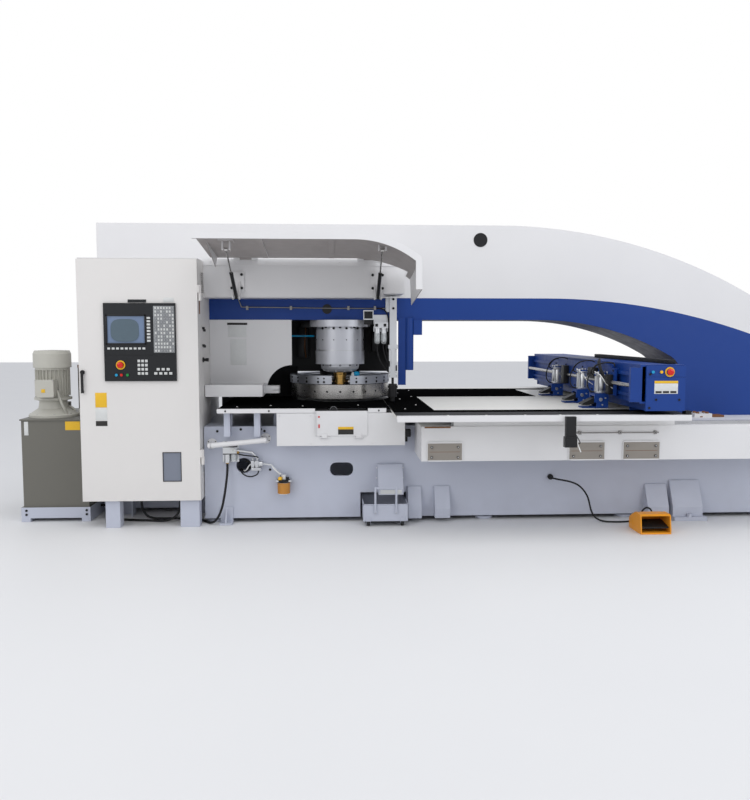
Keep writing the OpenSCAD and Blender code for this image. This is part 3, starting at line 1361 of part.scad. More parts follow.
module cabinet_cable() color(black) tube(smooth(cable_route, 3), cable_d);

arm_t = 14;
saddle_z = [guide_top + 2, guide_top + 46];
end_x = [1848, 2092];
end_z = [816, 1091];
beam_estop_at = [1991, 1054];
beam_buttons = [1886, 1938];
beam_rail_z = [905, 1035];
// Box beam across the table on two arms, with its saddles, rails and end plates.
module feed_beam() color(machine_blue) {
  difference() {
    block([beam_x, -table_half + 12, beam_bottom + 44], [beam_x + beam_w, table_half - 12, beam_top]);
    block([beam_x + 12, -table_half, beam_bottom + 56], [beam_x + beam_w - 12, table_half, beam_top - 12]);
  }
  block([beam_x + 40, -table_half + 12, beam_bottom],
        [beam_x + beam_w - 10, table_half - 12, beam_bottom + 44 + eps]);
  // near end plate with the bores of its controls
  difference() {
    block([end_x[0], -table_half - 2, end_z[0]], [end_x[1], -table_half + 12, end_z[1]]);
    rod_y([beam_estop_at[0], -table_half - 3, beam_estop_at[1]], 22 + 2 * run_gap, 20);
    for (x = beam_buttons) rod_y([x, -table_half - 3, beam_estop_at[1]], button_d + 2 * run_gap, 20);
    block([end_x[0] - 1, -table_half - 3, 1020], [end_x[1] + 1, -table_half - 0.5, 1024]);
  }
  block([end_x[0], table_half - 12, end_z[0]], [end_x[1], table_half, end_z[1]]);
  difference() {
    rod_y([beam_estop_at[0], -table_half - 6, beam_estop_at[1]], 60, 4);
    rod_y([beam_estop_at[0], -table_half - 7, beam_estop_at[1]], 22 + 2 * run_gap, 6);
  }
  for (x = beam_buttons) difference() {
    rod_y([x, -table_half - 5, beam_estop_at[1]], 26, 3);
    rod_y([x, -table_half - 6, beam_estop_at[1]], button_d + 2 * run_gap, 5);
  }
  // rails for the clamp carriage and the ball screw's blocks
  for (z = beam_rail_z) block([beam_x - 16, -table_half + 40, z - 10], [beam_x + eps, table_half - 40, z + 10]);
  block([beam_x - 60, -table_half + 12, 870], [beam_x + eps, -table_half + 40, 1080]);
  block([beam_x - 60, table_half - 40, 870], [beam_x + eps, table_half - 12, 1080]);
  // arms through the table's slots and their saddles on the rails
  for (y = slots) translate([0, y, 0]) {
    block([beam_x + 50, -arm_t / 2, saddle_z[1] - eps], [beam_x + beam_w - 40, arm_t / 2, beam_bottom + eps]);
    difference() {
      block([beam_x + 20, -34, saddle_z[0]], [beam_x + beam_w - 10, 34, saddle_z[1]]);
      block([beam_x, -rail_w / 2 - 0.4, saddle_z[0] - 1],
            [beam_x + beam_w, rail_w / 2 + 0.4, guide_top + 24.4]);
    }
  }
}
module beam_estop() color("red") mushroom(beam_estop_at[0], -table_half - 6, beam_estop_at[1], 40);
module beam_button_blue() color("deepskyblue")
  push_button(beam_buttons[0], -table_half - 5, beam_estop_at[1], 26);
module beam_button_yellow() color("yellow")
  push_button(beam_buttons[1], -table_half - 5, beam_estop_at[1], 26);

plate_x = [beam_x - 44, beam_x - 26];
carriage_y = [-960, 420];
clamp_y = [-800, -clamp_pitch, 250];
clamp_cyl_x = beam_x - 74;
clamp_tip = beam_x - 216;
jaw_axis = [beam_x - 96, 850];
jaw_half = 42;
cheek_y = jaw_half + 8;
lower_jaw_z = [table_z + 2, table_z + 9];
jaw_open = 10;

// Carriage with three work clamps: a yoke, an air cylinder and the fixed lower jaw each.
module clamp_carriage() color(machine_blue) {
  block([plate_x[0], carriage_y[0], 885], [plate_x[1], carriage_y[1], 1060]);
  for (z = beam_rail_z, y = [-880, -250, 340]) difference() {
    block([plate_x[1] - eps, y - 45, z - 22], [beam_x - face_gap, y + 45, z + 22]);
    block([beam_x - 16.4, y - 46, z - 10.4], [beam_x + 1, y + 46, z + 10.4]);
  }
  for (y = clamp_y) translate([0, y, 0]) {
    // yoke: two cheeks, a top plate and the lower jaw
    for (s = [-1, 1]) difference() {
      block([jaw_axis[0] - 40, s * cheek_y - 7, lower_jaw_z[0]], [plate_x[0] + eps, s * cheek_y + 7, 886]);
      block([jaw_axis[0] - 60, s * cheek_y - 8, lower_jaw_z[1]], [jaw_axis[0] - 26, s * cheek_y + 8, 830]);
    }
    block([jaw_axis[0] - 40, -jaw_half - 15, 872], [plate_x[0] + eps, jaw_half + 15, 888]);
    block([clamp_tip, -jaw_half, lower_jaw_z[0]], [plate_x[0] - 10, jaw_half + 0, lower_jaw_z[1]]);
    block([plate_x[0] - 34, -jaw_half - 2, lower_jaw_z[0]], [plate_x[0], jaw_half + 2, 826]);
    rod_y([jaw_axis[0], -jaw_half - 8, jaw_axis[1]], 16, 2 * jaw_half + 16);
    // cylinder with end caps and its air fitting
    translate([clamp_cyl_x - 2, 0, 888 - eps]) {
      cylinder(d = 70, h = 138);
      for (z = [0, 116]) translate([-37, -37, z]) cube([74, 74, 14]);
      translate([-48, 0, 122]) rotate([0, 90, 0]) cylinder(d = 14, h = 14);
    }
  }
  // hose and cable duct along the carriage
  block([plate_x[0] + 2, carriage_y[0] + 60, 1060 - eps], [plate_x[1] - 2, carriage_y[1] - 60, 1084]);
}

// Upper jaw: a rocker on the yoke's pin, its nose over the lower jaw.
module clamp_jaw(y) color(steel) translate([0, y, 0]) difference() {
  translate([0, jaw_half - 1, 0]) rotate([90, 0, 0]) linear_extrude(height = 2 * jaw_half - 2) polygon([
    [clamp_tip + 2, lower_jaw_z[1] + jaw_open], [clamp_tip + 2, lower_jaw_z[1] + jaw_open + 10],
    [jaw_axis[0] - 22, 868], [jaw_axis[0] + 14, 868], [jaw_axis[0] + 18, 838],
    [jaw_axis[0] - 20, 828], [clamp_tip + 50, lower_jaw_z[1] + jaw_open]]);
  rod_y([jaw_axis[0], -jaw_half - 1, jaw_axis[1]], 16 + 2 * run_gap, 2 * jaw_half + 2);
}
module clamp_jaw_near() clamp_jaw(clamp_y[0]);
module clamp_jaw_mid() clamp_jaw(clamp_y[1]);
module clamp_jaw_far() clamp_jaw(clamp_y[2]);

frame_outer();
frame_band();
bed();
floor_feet();
cabinet_shell();
hydraulic_tank();
pump_motor();
head_box();
ram_cylinder();
throat_plate();
tool_tray();
turret_housings();
turret_guards();
reposition_unit();
hose_guard();
front_cover();
centre_table();
side_tables();
brush_strips();
guide_beams();
beam_rails();
limit_sensor();
lube_pipes();
service_unit();
scrap_chute();
scrap_cart();
pedal_housing();
pedal_cord();
air_hose();
cabinet_cable();
feed_beam();
beam_estop();
beam_button_blue();
beam_button_yellow();
clamp_carriage();
clamp_jaw_near();
clamp_jaw_mid();
clamp_jaw_far();
ram_rod();
upper_turret();
active_punch();
lower_turret();
index_pin();
reposition_rod();
hood();
strut_tube_left();
strut_tube_right();
strut_rod_left();
strut_rod_right();
cabinet_door();
door_handle();
operator_panel();
panel_estop();
button_blue();
button_red();
button_green();
access_door();
foot_pedal();
cart_wheels_front();
cart_wheels_rear();
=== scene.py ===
"""Closed-frame turret punch press: materials, fittings, floor, light and camera.

Everything is in metres in the machine's own frame: X to the operator's right, Y away from
the operator, Z up, the origin on the floor under the ram axis. Sizes below are written in
millimetres and turned into metres where meshes are made.
"""
import math
import random

import bpy
import bmesh
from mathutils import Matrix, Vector


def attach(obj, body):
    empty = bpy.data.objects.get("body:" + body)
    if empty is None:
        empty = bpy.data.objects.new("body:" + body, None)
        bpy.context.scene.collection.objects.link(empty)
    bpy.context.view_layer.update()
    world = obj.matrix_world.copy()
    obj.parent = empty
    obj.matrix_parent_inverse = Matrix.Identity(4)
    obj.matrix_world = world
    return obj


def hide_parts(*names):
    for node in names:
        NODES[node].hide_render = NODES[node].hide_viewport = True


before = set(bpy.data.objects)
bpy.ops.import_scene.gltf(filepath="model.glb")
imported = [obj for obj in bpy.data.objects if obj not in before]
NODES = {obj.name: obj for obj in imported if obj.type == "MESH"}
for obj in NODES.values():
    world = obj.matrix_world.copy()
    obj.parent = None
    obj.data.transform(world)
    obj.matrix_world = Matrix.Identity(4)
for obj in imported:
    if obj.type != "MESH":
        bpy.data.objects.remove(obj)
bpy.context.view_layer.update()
random.seed(11)

MM = 0.001
scene = bpy.context.scene

# Planes that details sit on, in mm
BED_FRONT = -640
FRAME_FRONT = -280
HEAD_FRONT = -520
COVER_FRONT = -790
TABLE_FRONT = -1300
DOOR_FRONT = -776.5
PANEL_FRONT = -790.5
CABINET_RIGHT = -930
BEAM_END = -1302

# Axes of the turned parts, the clamps' places and the six directions
RAM_Y = -120
TURRET_Y = 160
TOOL_CIRCLE = 280
CLAMPS = (-800, -400, 250)
FRONT = (0, -1, 0)
BACK = (0, 1, 0)
UP = (0, 0, 1)
DOWN = (0, 0, -1)
RIGHT = (1, 0, 0)
LEFT = (-1, 0, 0)


# Camera: the picture's size, and how far its middle lies from the machine's vanishing point

PICTURE = (750, 800)
HORIZON_ABOVE_MIDDLE = 67
VANISHING_POINT_LEFT = 42
CAMERA_AT = (-0.052, -6.060, 1.290)


def place_camera():
    """A 36 mm lens on a 36 mm sensor, so the picture's longer side is the focal length too."""
    data = bpy.data.cameras.new("camera")
    cam = bpy.data.objects.new("camera", data)
    scene.collection.objects.link(cam)
    cam.location = CAMERA_AT
    focal = PICTURE[1]
    pitch = math.atan(HORIZON_ABOVE_MIDDLE / focal)
    yaw = math.atan(VANISHING_POINT_LEFT / focal)
    cam.rotation_euler = (math.radians(90) - pitch, 0, -yaw)
    data.sensor_fit = "AUTO"
    data.sensor_width = 36
    data.lens = 36
    data.clip_end = 60
    scene.camera = cam
    scene.render.resolution_x, scene.render.resolution_y = PICTURE


place_camera()


# Materials

class Nodes:
    """Small helper round one material's node tree."""

    def __init__(self, name):
        self.mat = bpy.data.materials.new(name)
        self.mat.use_nodes = True
        self.tree = self.mat.node_tree
        self.bsdf = self.tree.nodes["Principled BSDF"]
        self.coords = self.tree.nodes.new("ShaderNodeTexCoord").outputs["Object"]
        self.position = self.tree.nodes.new("ShaderNodeSeparateXYZ")
        self.link(self.coords, self.position.inputs[0])

    def link(self, a, b):
        self.tree.links.new(a, b)

    def put(self, socket, value):
        if isinstance(value, bpy.types.NodeSocket):
            self.link(value, socket)
        elif isinstance(value, (tuple, list)):
            socket.default_value = (*value[:3], 1.0)
        else:
            socket.default_value = value

    def math(self, op, a, b=0.0, c=None, clamp=False):
        n = self.tree.nodes.new("ShaderNodeMath")
        n.operation = op
        n.use_clamp = clamp
        self.put(n.inputs[0], a)
        self.put(n.inputs[1], b)
        if c is not None:
            self.put(n.inputs[2], c)
        return n.outputs[0]

    def noise(self, scale, detail=3.0, rough=0.5, stretch=None):
        n = self.tree.nodes.new("ShaderNodeTexNoise")
        n.inputs["Scale"].default_value = scale
        n.inputs["Detail"].default_value = detail
        n.inputs["Roughness"].default_value = rough
        source = self.coords
        if stretch:
            m = self.tree.nodes.new("ShaderNodeMapping")
            m.inputs["Scale"].default_value = stretch
            self.link(source, m.inputs["Vector"])
            source = m.outputs[0]
        self.link(source, n.inputs["Vector"])
        return n.outputs["Fac"]

    def ramp(self, value, lo, hi, out_lo=0.0, out_hi=1.0):
        n = self.tree.nodes.new("ShaderNodeMapRange")
        n.clamp = True
        for i, v in enumerate((value, lo, hi, out_lo, out_hi)):
            self.put(n.inputs[i], v)
        return n.outputs[0]

    def mix(self, fac, a, b):
        n = self.tree.nodes.new("ShaderNodeMix")
        n.data_type = "RGBA"
        self.put(n.inputs[0], fac)
        self.put(n.inputs[6], a)
        self.put(n.inputs[7], b)
        return n.outputs[2]

    def blend(self, fac, a, b):
        n = self.tree.nodes.new("ShaderNodeMix")
        self.put(n.inputs[0], fac)
        self.put(n.inputs[2], a)
        self.put(n.inputs[3], b)
        return n.outputs[0]

    def bump(self, height, strength, distance=0.001, normal=None):
        n = self.tree.nodes.new("ShaderNodeBump")
        n.inputs["Strength"].default_value = strength
        n.inputs["Distance"].default_value = distance
        self.link(height, n.inputs["Height"])
        if normal is not None:
            self.link(normal, n.inputs["Normal"])
        return n.outputs[0]

    def soft_edges(self, radius):
        n = self.tree.nodes.new("ShaderNodeBevel")
        n.samples = 4
        n.inputs["Radius"].default_value = radius
        return n.outputs[0]

    def inside(self, lo, hi):
        """1 where the object coordinates lie in the box lo..hi in mm, else 0."""
        total = None
        for axis in range(3):
            p = self.position.outputs[axis]
            for limit, op in ((lo[axis], "GREATER_THAN"), (hi[axis], "LESS_THAN")):
                if limit is None:
                    continue
                m = self.math(op, p, limit * MM)
                total = m if total is None else self.math("MULTIPLY", total, m)
        return total

    def zoned(self, zones, colour, rough, metal):
        """The three values with each zone's own in its box."""
        for lo, hi, zone_colour, zone_rough, zone_metal in zones:
            f = self.inside(lo, hi)
            colour = self.mix(f, colour, zone_colour)
            rough = self.blend(f, rough, zone_rough)
            metal = self.blend(f, metal, zone_metal)
        return colour, rough, metal


def finish_material(n, colour, rough, metal, normal):
    n.put(n.bsdf.inputs["Base Color"], colour)
    n.put(n.bsdf.inputs["Roughness"], rough)
    n.put(n.bsdf.inputs["Metallic"], metal)
    n.link(normal, n.bsdf.inputs["Normal"])
    return n.mat


def paint(name, colour, rough=0.42, grain=0.25, edge=2.5, low_darkening=0.12, zones=(), under=None):
    """Sprayed enamel: fine orange peel, faint cloudiness and blotchy darkening towards the floor.

    zones are (lo, hi, colour, roughness, metallic) boxes in mm with another finish;
    under is painted shade: the darker colour given to faces that look down.
    """
    n = Nodes(name)
    cloud = n.noise(2.2, 4)
    col = n.mix(n.ramp(cloud, 0.35, 0.7, 0.0, 0.35), colour, [c * 0.93 for c in colour])
    # Blotchy darkening in the lowest 0.35 m, stronger towards the floor.
    near_floor = n.ramp(n.position.outputs[2], 0.0, 0.35, low_darkening, 0.0)
    low_darkening_mask = n.math("MULTIPLY", near_floor, n.ramp(n.noise(9, 5), 0.35, 0.75))
    col = n.mix(low_darkening_mask, col, (0.20, 0.19, 0.18))
    r = n.ramp(n.noise(14, 3), 0.3, 0.7, rough - 0.05, rough + 0.07)
    col, r, m = n.zoned(zones, col, r, 0.0)
    # Faces that look down take the under colour: painted shade, as if in shadow.
    if under:
        facing = n.tree.nodes.new("ShaderNodeSeparateXYZ")
        n.link(n.tree.nodes.new("ShaderNodeNewGeometry").outputs["Normal"], facing.inputs[0])
        col = n.mix(n.math("LESS_THAN", facing.outputs[2], -0.4), col, under)
    n.bsdf.inputs["Specular IOR Level"].default_value = 0.3
    normal = n.bump(n.noise(420, 2), grain, 0.0004, n.soft_edges(edge * MM))
    return finish_material(n, col, r, m, normal)


def metal(name, colour, rough=0.3, brush=0.15, stretch=(1, 1, 1), scale=260, edge=1.2, zones=()):
    """Machined or brushed metal with fine tool marks along one direction."""
    n = Nodes(name)
    lines = n.noise(scale, 4, 0.6, stretch)
    col = n.mix(n.ramp(n.noise(6, 4), 0.3, 0.75, 0.0, 0.5), colour, [c * 0.78 for c in colour])
    r = n.ramp(lines, 0.3, 0.7, rough - 0.06, rough + 0.1)
    col, r, m = n.zoned(zones, col, r, 1.0)
    return finish_material(n, col, r, m, n.bump(lines, brush, 0.0002, n.soft_edges(edge * MM)))


def plastic(name, colour, rough=0.35, grain=0.1, coat=0.0, edge=0.8, zones=()):
    """Moulded plastic, or paint on small parts, with a faint cloudiness."""
    n = Nodes(name)
    col = n.mix(n.ramp(n.noise(30, 3), 0.35, 0.7, 0.0, 0.3), colour, [c * 0.85 for c in colour])
    col, r, m = n.zoned(zones, col, rough, 0.0)
    n.bsdf.inputs["Coat Weight"].default_value = coat
    n.bsdf.inputs["Specular IOR Level"].default_value = 0.3
    return finish_material(n, col, r, m, n.bump(n.noise(500, 2), grain, 0.0002, n.soft_edges(edge * MM)))


def bristle(name):
    """Dense tufts in rows, dull black with lighter worn tips."""
    n = Nodes(name)
    v = n.tree.nodes.new("ShaderNodeTexVoronoi")
    v.inputs["Scale"].default_value = 150
    v.inputs["Randomness"].default_value = 0.35
    n.link(n.coords, v.inputs["Vector"])
    tips = n.ramp(v.outputs["Distance"], 0.0, 0.6, 1.0, 0.0)
    col = n.mix(tips, (0.003, 0.003, 0.003), (0.009, 0.009, 0.010))
    n.bsdf.inputs["Specular IOR Level"].default_value = 0.0
    return finish_material(n, col, 0.62, 0.0, n.bump(tips, 0.5, 0.002))


def glass(name, colour, rough, clear):
    n = Nodes(name)
    n.bsdf.inputs["Transmission Weight"].default_value = clear
    n.bsdf.inputs["IOR"].default_value = 1.45
    return finish_material(n, n.mix(n.noise(3), colour, [c * 0.96 for c in colour]), rough, 0.0,
                           n.bump(n.noise(40), 0.02, 0.0002))


WHITE = (0.72, 0.715, 0.72)
CABINET = (0.72, 0.70, 0.68)
BLUE = (0.006, 0.043, 0.235)
PALE = (0.50, 0.525, 0.61)
TANK = (0.155, 0.150, 0.130)
STEEL = (0.58, 0.57, 0.55)
BRONZE = (0.55, 0.33, 0.10)
DARK = (0.012, 0.012, 0.013)
SILVER = (0.62, 0.63, 0.65)

MAT = {
    "white": paint("white_enamel", WHITE, 0.38),
    "cabinet": paint("cabinet_enamel", CABINET, 0.45, 0.5, zones=[
        ((None, None, None), (None, None, 180), PALE, 0.5, 0.0)]),
    "door": paint("door_enamel", CABINET, 0.45, 0.5, zones=[
        ((-1181, -775, 306), (-1047, -765, 514), (0.20, 0.22, 0.27), 0.12, 0.0)]),
    # The blue band's and the hood's downward faces get a darker under colour: painted shade under the arch
    # and under the hood.
    "blue": paint("blue_enamel", BLUE, 0.42, under=(0.030, 0.026, 0.050)),
    "hood": paint("hood_enamel", WHITE, 0.4, under=(0.34, 0.31, 0.30)),
    "pale": paint("bed_enamel", PALE, 0.48, 0.35, zones=[
        ((1420, -700, 268), (1478, -641, 326), DARK, 0.5, 0.0)]),
    "table_black": plastic("table_black", DARK, 0.38, zones=[
        ((None, None, None), (None, None, 764), PALE, 0.5, 0.0)]),
    "tank": paint("tank_enamel", TANK, 0.45, zones=[
        ((None, None, None), (None, None, 99.9), PALE, 0.5, 0.0),
        ((-1895, -195, 706), (-1775, 120, 1070), (0.045, 0.03, 0.02), 0.5, 0.0)]),
    "motor": paint("motor_enamel", (0.52, 0.51, 0.455), 0.45),
    "ram": paint("ram_silver", (0.56, 0.57, 0.61), 0.34, 0.1, 1.2, 0.0, zones=[
        ((None, None, None), (None, None, 9999), (0.60, 0.61, 0.65), 0.32, 0.45)]),
    "turret": metal("turret_steel", (0.60, 0.58, 0.55), 0.22, 0.03, (1, 1, 22), 160, zones=[
        ((None, None, 911), (None, None, 960), (0.05, 0.05, 0.052), 0.38, 0.7)]),
    # lower_turret_steel is the turret steel at half its brightness: painted shade for the lower turret
    # lying in the upper turret's shadow.
    "lower": metal("lower_turret_steel", (0.30, 0.30, 0.30), 0.32, 0.12, (1, 1, 22), 160),
    "steel": metal("bright_steel", STEEL, 0.24, 0.1),
    "silver": metal("silver_steel", SILVER, 0.33, 0.12),
    "bronze": metal("ram_bronze", BRONZE, 0.20, 0.1, (1, 1, 12), 200),
    "dull": metal("dull_pipe", (0.30, 0.29, 0.28), 0.4, 0.1),
    "rail": metal("rail_steel", (0.50, 0.50, 0.51), 0.3, 0.15, (0.1, 1, 1)),
    "alu": metal("aluminium", (0.72, 0.73, 0.74), 0.36, 0.12),
    "guard": metal("guard_plate", (0.56, 0.58, 0.63), 0.42, 0.1),
    "black": plastic("black_enamel", DARK, 0.38),
    "dark_sheet": plastic("dark_sheet", (0.010, 0.010, 0.011), 0.7),
    "housing": plastic("housing_black", DARK, 0.5),
    "plate": paint("table_plate", (0.78, 0.77, 0.72), 0.35, 0.0, 1.0, 0.0, zones=[
        # The near-black band from y -1258 to -936 above z 785 is painted shadow on the table lip's top
        # behind its white front edge; the brush strips lie on its back part.
        ((None, -1258, 785), (None, -936, 800), (0.02, 0.02, 0.02), 0.6, 0.0),
        ((None, None, None), (None, -1259, None), WHITE, 0.4, 0.0)]),
    "bristle": bristle("brush_bristle"),
    "panel": plastic("panel_grey", (0.013, 0.014, 0.016), 0.42, 0.3),
    "key": plastic("key_cap", (0.60, 0.61, 0.60), 0.4),
    "key_dark": plastic("key_cap_dark", (0.30, 0.31, 0.32), 0.4),
    "red": plastic("red_gloss", (0.62, 0.012, 0.006), 0.2, 0.02, 0.4),
    "yellow": plastic("yellow_gloss", (0.86, 0.48, 0.01), 0.25, 0.02, 0.3),
    "green": plastic("green_gloss", (0.01, 0.26, 0.05), 0.22, 0.02, 0.3),
    "cyan": plastic("cyan_gloss", (0.01, 0.30, 0.55), 0.22, 0.02, 0.3),
    "pedal": paint("pedal_enamel", (0.85, 0.33, 0.012), 0.32),
    "rubber": plastic("black_rubber", (0.010, 0.010, 0.011), 0.55, 0.25),
    "tyre": plastic("tyre_rubber", (0.022, 0.022, 0.023), 0.65, 0.3),
    "beige": paint("beige_pad", (0.28, 0.255, 0.225), 0.42),
    "brown": paint("brown_rust", (0.20, 0.085, 0.035), 0.6),
    "paper": plastic("bare_label", (0.66, 0.67, 0.66), 0.3),
    "label_yellow": plastic("label_yellow", (0.80, 0.48, 0.03), 0.35),
    "label_dark": plastic("label_dark", (0.030, 0.028, 0.026), 0.35),
    "tie": plastic("white_tie", (0.78, 0.78, 0.76), 0.4),
    "screen": plastic("screen_glass", (0.085, 0.125, 0.155), 0.08, 0.0, 0.5),
    "screen_mask": plastic("screen_mask", (0.16, 0.22, 0.34), 0.16, 0.0, 0.3),
    "oil": glass("oil_cup_glass", (0.75, 0.33, 0.05), 0.12, 0.45),
    "bowl": glass("bowl_glass", (0.80, 0.83, 0.84), 0.08, 0.6),
}

# Which material each carried-over solid wears
NODE_MATERIALS = {
    "frame_outer": "white", "frame_band": "blue", "bed": "pale", "floor_feet": "pale",
    "cabinet_shell": "cabinet", "hydraulic_tank": "tank", "pump_motor": "motor",
    "head_box": "white", "ram_cylinder": "ram", "throat_plate": "white", "tool_tray": "white",
    "turret_housings": "housing", "turret_guards": "guard", "reposition_unit": "alu",
    "hose_guard": "blue", "front_cover": "white", "centre_table": "table_black",
    "side_tables": "plate", "brush_strips": "bristle", "guide_beams": "white",
    "beam_rails": "rail", "limit_sensor": "black", "lube_pipes": "dull",
    "service_unit": "alu", "scrap_chute": "pale", "scrap_cart": "pale",
    "pedal_housing": "pedal", "feed_beam": "blue", "beam_estop": "red",
    "beam_button_blue": "cyan", "beam_button_yellow": "yellow", "clamp_carriage": "blue",
    "clamp_jaw_near": "black", "clamp_jaw_mid": "black", "clamp_jaw_far": "black",
    "ram_rod": "bronze", "upper_turret": "turret", "active_punch": "bronze",
    "lower_turret": "lower", "index_pin": "steel", "reposition_rod": "black",
    "hood": "hood", "strut_tube_left": "black", "strut_tube_right": "black",
    "strut_rod_left": "steel", "strut_rod_right": "steel", "cabinet_door": "door",
    "door_handle": "black", "operator_panel": "panel", "panel_estop": "red",
    "button_blue": "cyan", "button_red": "red", "button_green": "green",
    "access_door": "white", "foot_pedal": "rubber", "cart_wheels_front": "tyre",
    "cart_wheels_rear": "tyre",
}
for node, key in NODE_MATERIALS.items():
    mesh = NODES[node].data
    mesh.materials.clear()
    mesh.materials.append(MAT[key])


# Mesh makers: every size is in mm

def v3(p):
    return Vector(p) * MM


def add_box(bm, lo, hi, bevel=1.0):
    lo, hi = Vector(lo), Vector(hi)
    made = bmesh.ops.create_cube(bm, size=1.0)
    verts = made["verts"]
    size = hi - lo
    for v in verts:
        v.co = Vector((v.co[i] * size[i] + (lo[i] + hi[i]) / 2 for i in range(3))) * MM
    width = min(bevel, min(size) * 0.3)
    if width > 0:
        edges = list({e for v in verts for e in v.link_edges})
        bmesh.ops.bevel(bm, geom=edges, offset=width * MM, segments=2, affect="EDGES", profile=0.5)


def frame_on(axis):
    """Two directions square to axis."""
    axis = Vector(axis).normalized()
    side = Vector((0, 0, 1)) if abs(axis.z) < 0.9 else Vector((1, 0, 0))
    a = axis.cross(side).normalized()
    return axis, a, axis.cross(a)


def add_lathe(bm, at, axis, profile, n=32):
    """Turned shape: profile is (distance along axis, radius) in mm.

    A profile that ends where it starts makes a ring; any other is closed at both ends.
    """
    axis, a, b = frame_on(axis)
    rings = []
    is_ring = profile[0] == profile[-1]
    for along, radius in profile[:-1] if is_ring else profile:
        centre = (Vector(at) + axis * along) * MM
        if radius <= 0:
            rings.append([bm.verts.new(centre)])
            continue
        rings.append([bm.verts.new(centre + (a * math.cos(t) + b * math.sin(t)) * radius * MM)
                      for t in (2 * math.pi * k / n for k in range(n))])
    if is_ring:
        rings.append(rings[0])
    for r, s in zip(rings, rings[1:]):
        for k in range(n):
            quad = [r[k % len(r)], r[(k + 1) % len(r)], s[(k + 1) % len(s)], s[k % len(s)]]
            corners = list(dict.fromkeys(quad))
            if len(corners) > 2:
                bm.faces.new(corners)
    for ring in () if is_ring else (rings[0], rings[-1]):
        if len(ring) > 2:
            bm.faces.new(ring)


def add_rod(bm, at, axis, d, length, chamfer=0.6, n=24):
    c = min(chamfer, d * 0.2, length * 0.3)
    add_lathe(bm, at, axis, [(0, d / 2 - c), (c, d / 2), (length - c, d / 2), (length, d / 2 - c)], n)


def add_hex(bm, at, axis, flats, height):
    r = flats / math.sqrt(3)
    add_lathe(bm, at, axis, [(0, r), (height * 0.75, r), (height, r * 0.86)], 6)


def washer(inner, outer, height):
    """Profile of a flat ring."""
    return [(0, inner), (0, outer), (height, outer), (height, inner), (0, inner)]


def around(centre_y, radius, degrees):
    """A point on a circle about an upright axis at X = 0, and the way out to it as (c, s)."""
    t = math.radians(degrees)
    c, s = math.cos(t), math.sin(t)
    return radius * c, centre_y + radius * s, c, s


def add_socket_bolt(bm, at, axis, d, height):
    """Cap screw: a round head with a sunk socket."""
    add_lathe(bm, at, axis, [(0, d / 2), (height * 0.85, d / 2), (height, d * 0.44),
                             (height, d * 0.27), (height * 0.4, d * 0.25), (height * 0.4, 0)], 18)


def smooth_route(points, steps=6):
    """Catmull-Rom curve through the points, as the solids' tubes are made."""
    out = []
    last = len(points) - 1
    for i in range(last):
        a, b = points[max(i - 1, 0)], points[i]
        c, d = points[i + 1], points[min(i + 2, last)]
        for j in range(steps):
            t = j / steps
            out.append([0.5 * (2 * b[k] + (c[k] - a[k]) * t
                               + (2 * a[k] - 5 * b[k] + 4 * c[k] - d[k]) * t * t
                               + (3 * b[k] - a[k] - 3 * c[k] + d[k]) * t ** 3) for k in range(3)])
    out.append(list(points[last]))
    return out


def add_tube(bm, points, d, n=12, steps=6):
    """Swept round tube along a smooth route, closed at its ends."""
    path = [Vector(p) for p in smooth_route(points, steps)]
    normal = None
    rings = []
    for i, p in enumerate(path):
        t = (path[min(i + 1, len(path) - 1)] - path[max(i - 1, 0)]).normalized()
        if normal is None:
            normal = frame_on(t)[1]
        normal = (normal - t * normal.dot(t)).normalized()
        other = t.cross(normal)
        rings.append([bm.verts.new((p + (normal * math.cos(a) + other * math.sin(a)) * d / 2) * MM)
                      for a in (2 * math.pi * k / n for k in range(n))])
    for r, s in zip(rings, rings[1:]):
        for k in range(n):
            bm.faces.new([r[k], r[(k + 1) % n], s[(k + 1) % n], s[k]])
    bm.faces.new(rings[0])
    bm.faces.new(rings[-1])


def piece(name, material, body, build, smooth=True):
    """One object made by build(bm); it rides on a body."""
    bm = bmesh.new()
    build(bm)
    bmesh.ops.recalc_face_normals(bm, faces=bm.faces)
    mesh = bpy.data.meshes.new(name)
    bm.to_mesh(mesh)
    bm.free()
    obj = bpy.data.objects.new(name, mesh)
    scene.collection.objects.link(obj)
    mesh.materials.append(MAT[material])
    if smooth:
        for p in mesh.polygons:
            p.use_smooth = True
        mesh.set_sharp_from_angle(angle=math.radians(35))
    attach(obj, body)
    return obj


def boxes(name, material, body, pairs, bevel=1.0):
    """One piece made of boxes, each given by two opposite corners."""
    def build(bm):
        for lo, hi in pairs:
            add_box(bm, lo, hi, bevel)
    return piece(name, material, body, build)


def bar_frame(x0, x1, z0, z1, width, y0, y1):
    """Boxes of the four bars round an upright rectangle."""
    return [((x0, y0, z0), (x0 + width, y1, z1)), ((x1 - width, y0, z0), (x1, y1, z1)),
            ((x0, y0, z1 - width), (x1, y1, z1)), ((x0, y0, z0), (x1, y1, z0 + width))]


def front_plate(name, material, body, front, x, z, bevel=0.6):
    """Thin bare plate on a face that looks at the operator; x and z are its ranges."""
    return boxes(name, material, body, [((x[0], front - 1.6, z[0]), (x[1], front + 0.5, z[1]))],
                 bevel)


def bolts(name, spots, axis, d, height, body="machine", material="black",
          kind="socket"):
    """One piece made of equal cap screws or hexagon heads."""
    def build(bm):
        for at in spots:
            if kind == "socket":
                add_socket_bolt(bm, at, axis, d, height)
            else:
                add_hex(bm, at, axis, d, height)
    return piece(name, material, body, build)


def pipe(name, material, body, routes, d, n=12):
    """One piece made of tubes of one thickness along smooth routes."""
    def build(bm):
        for route in routes:
            add_tube(bm, route, d, n)
    return piece(name, material, body, build)


# Free cords: the same routes as the solids, in mm

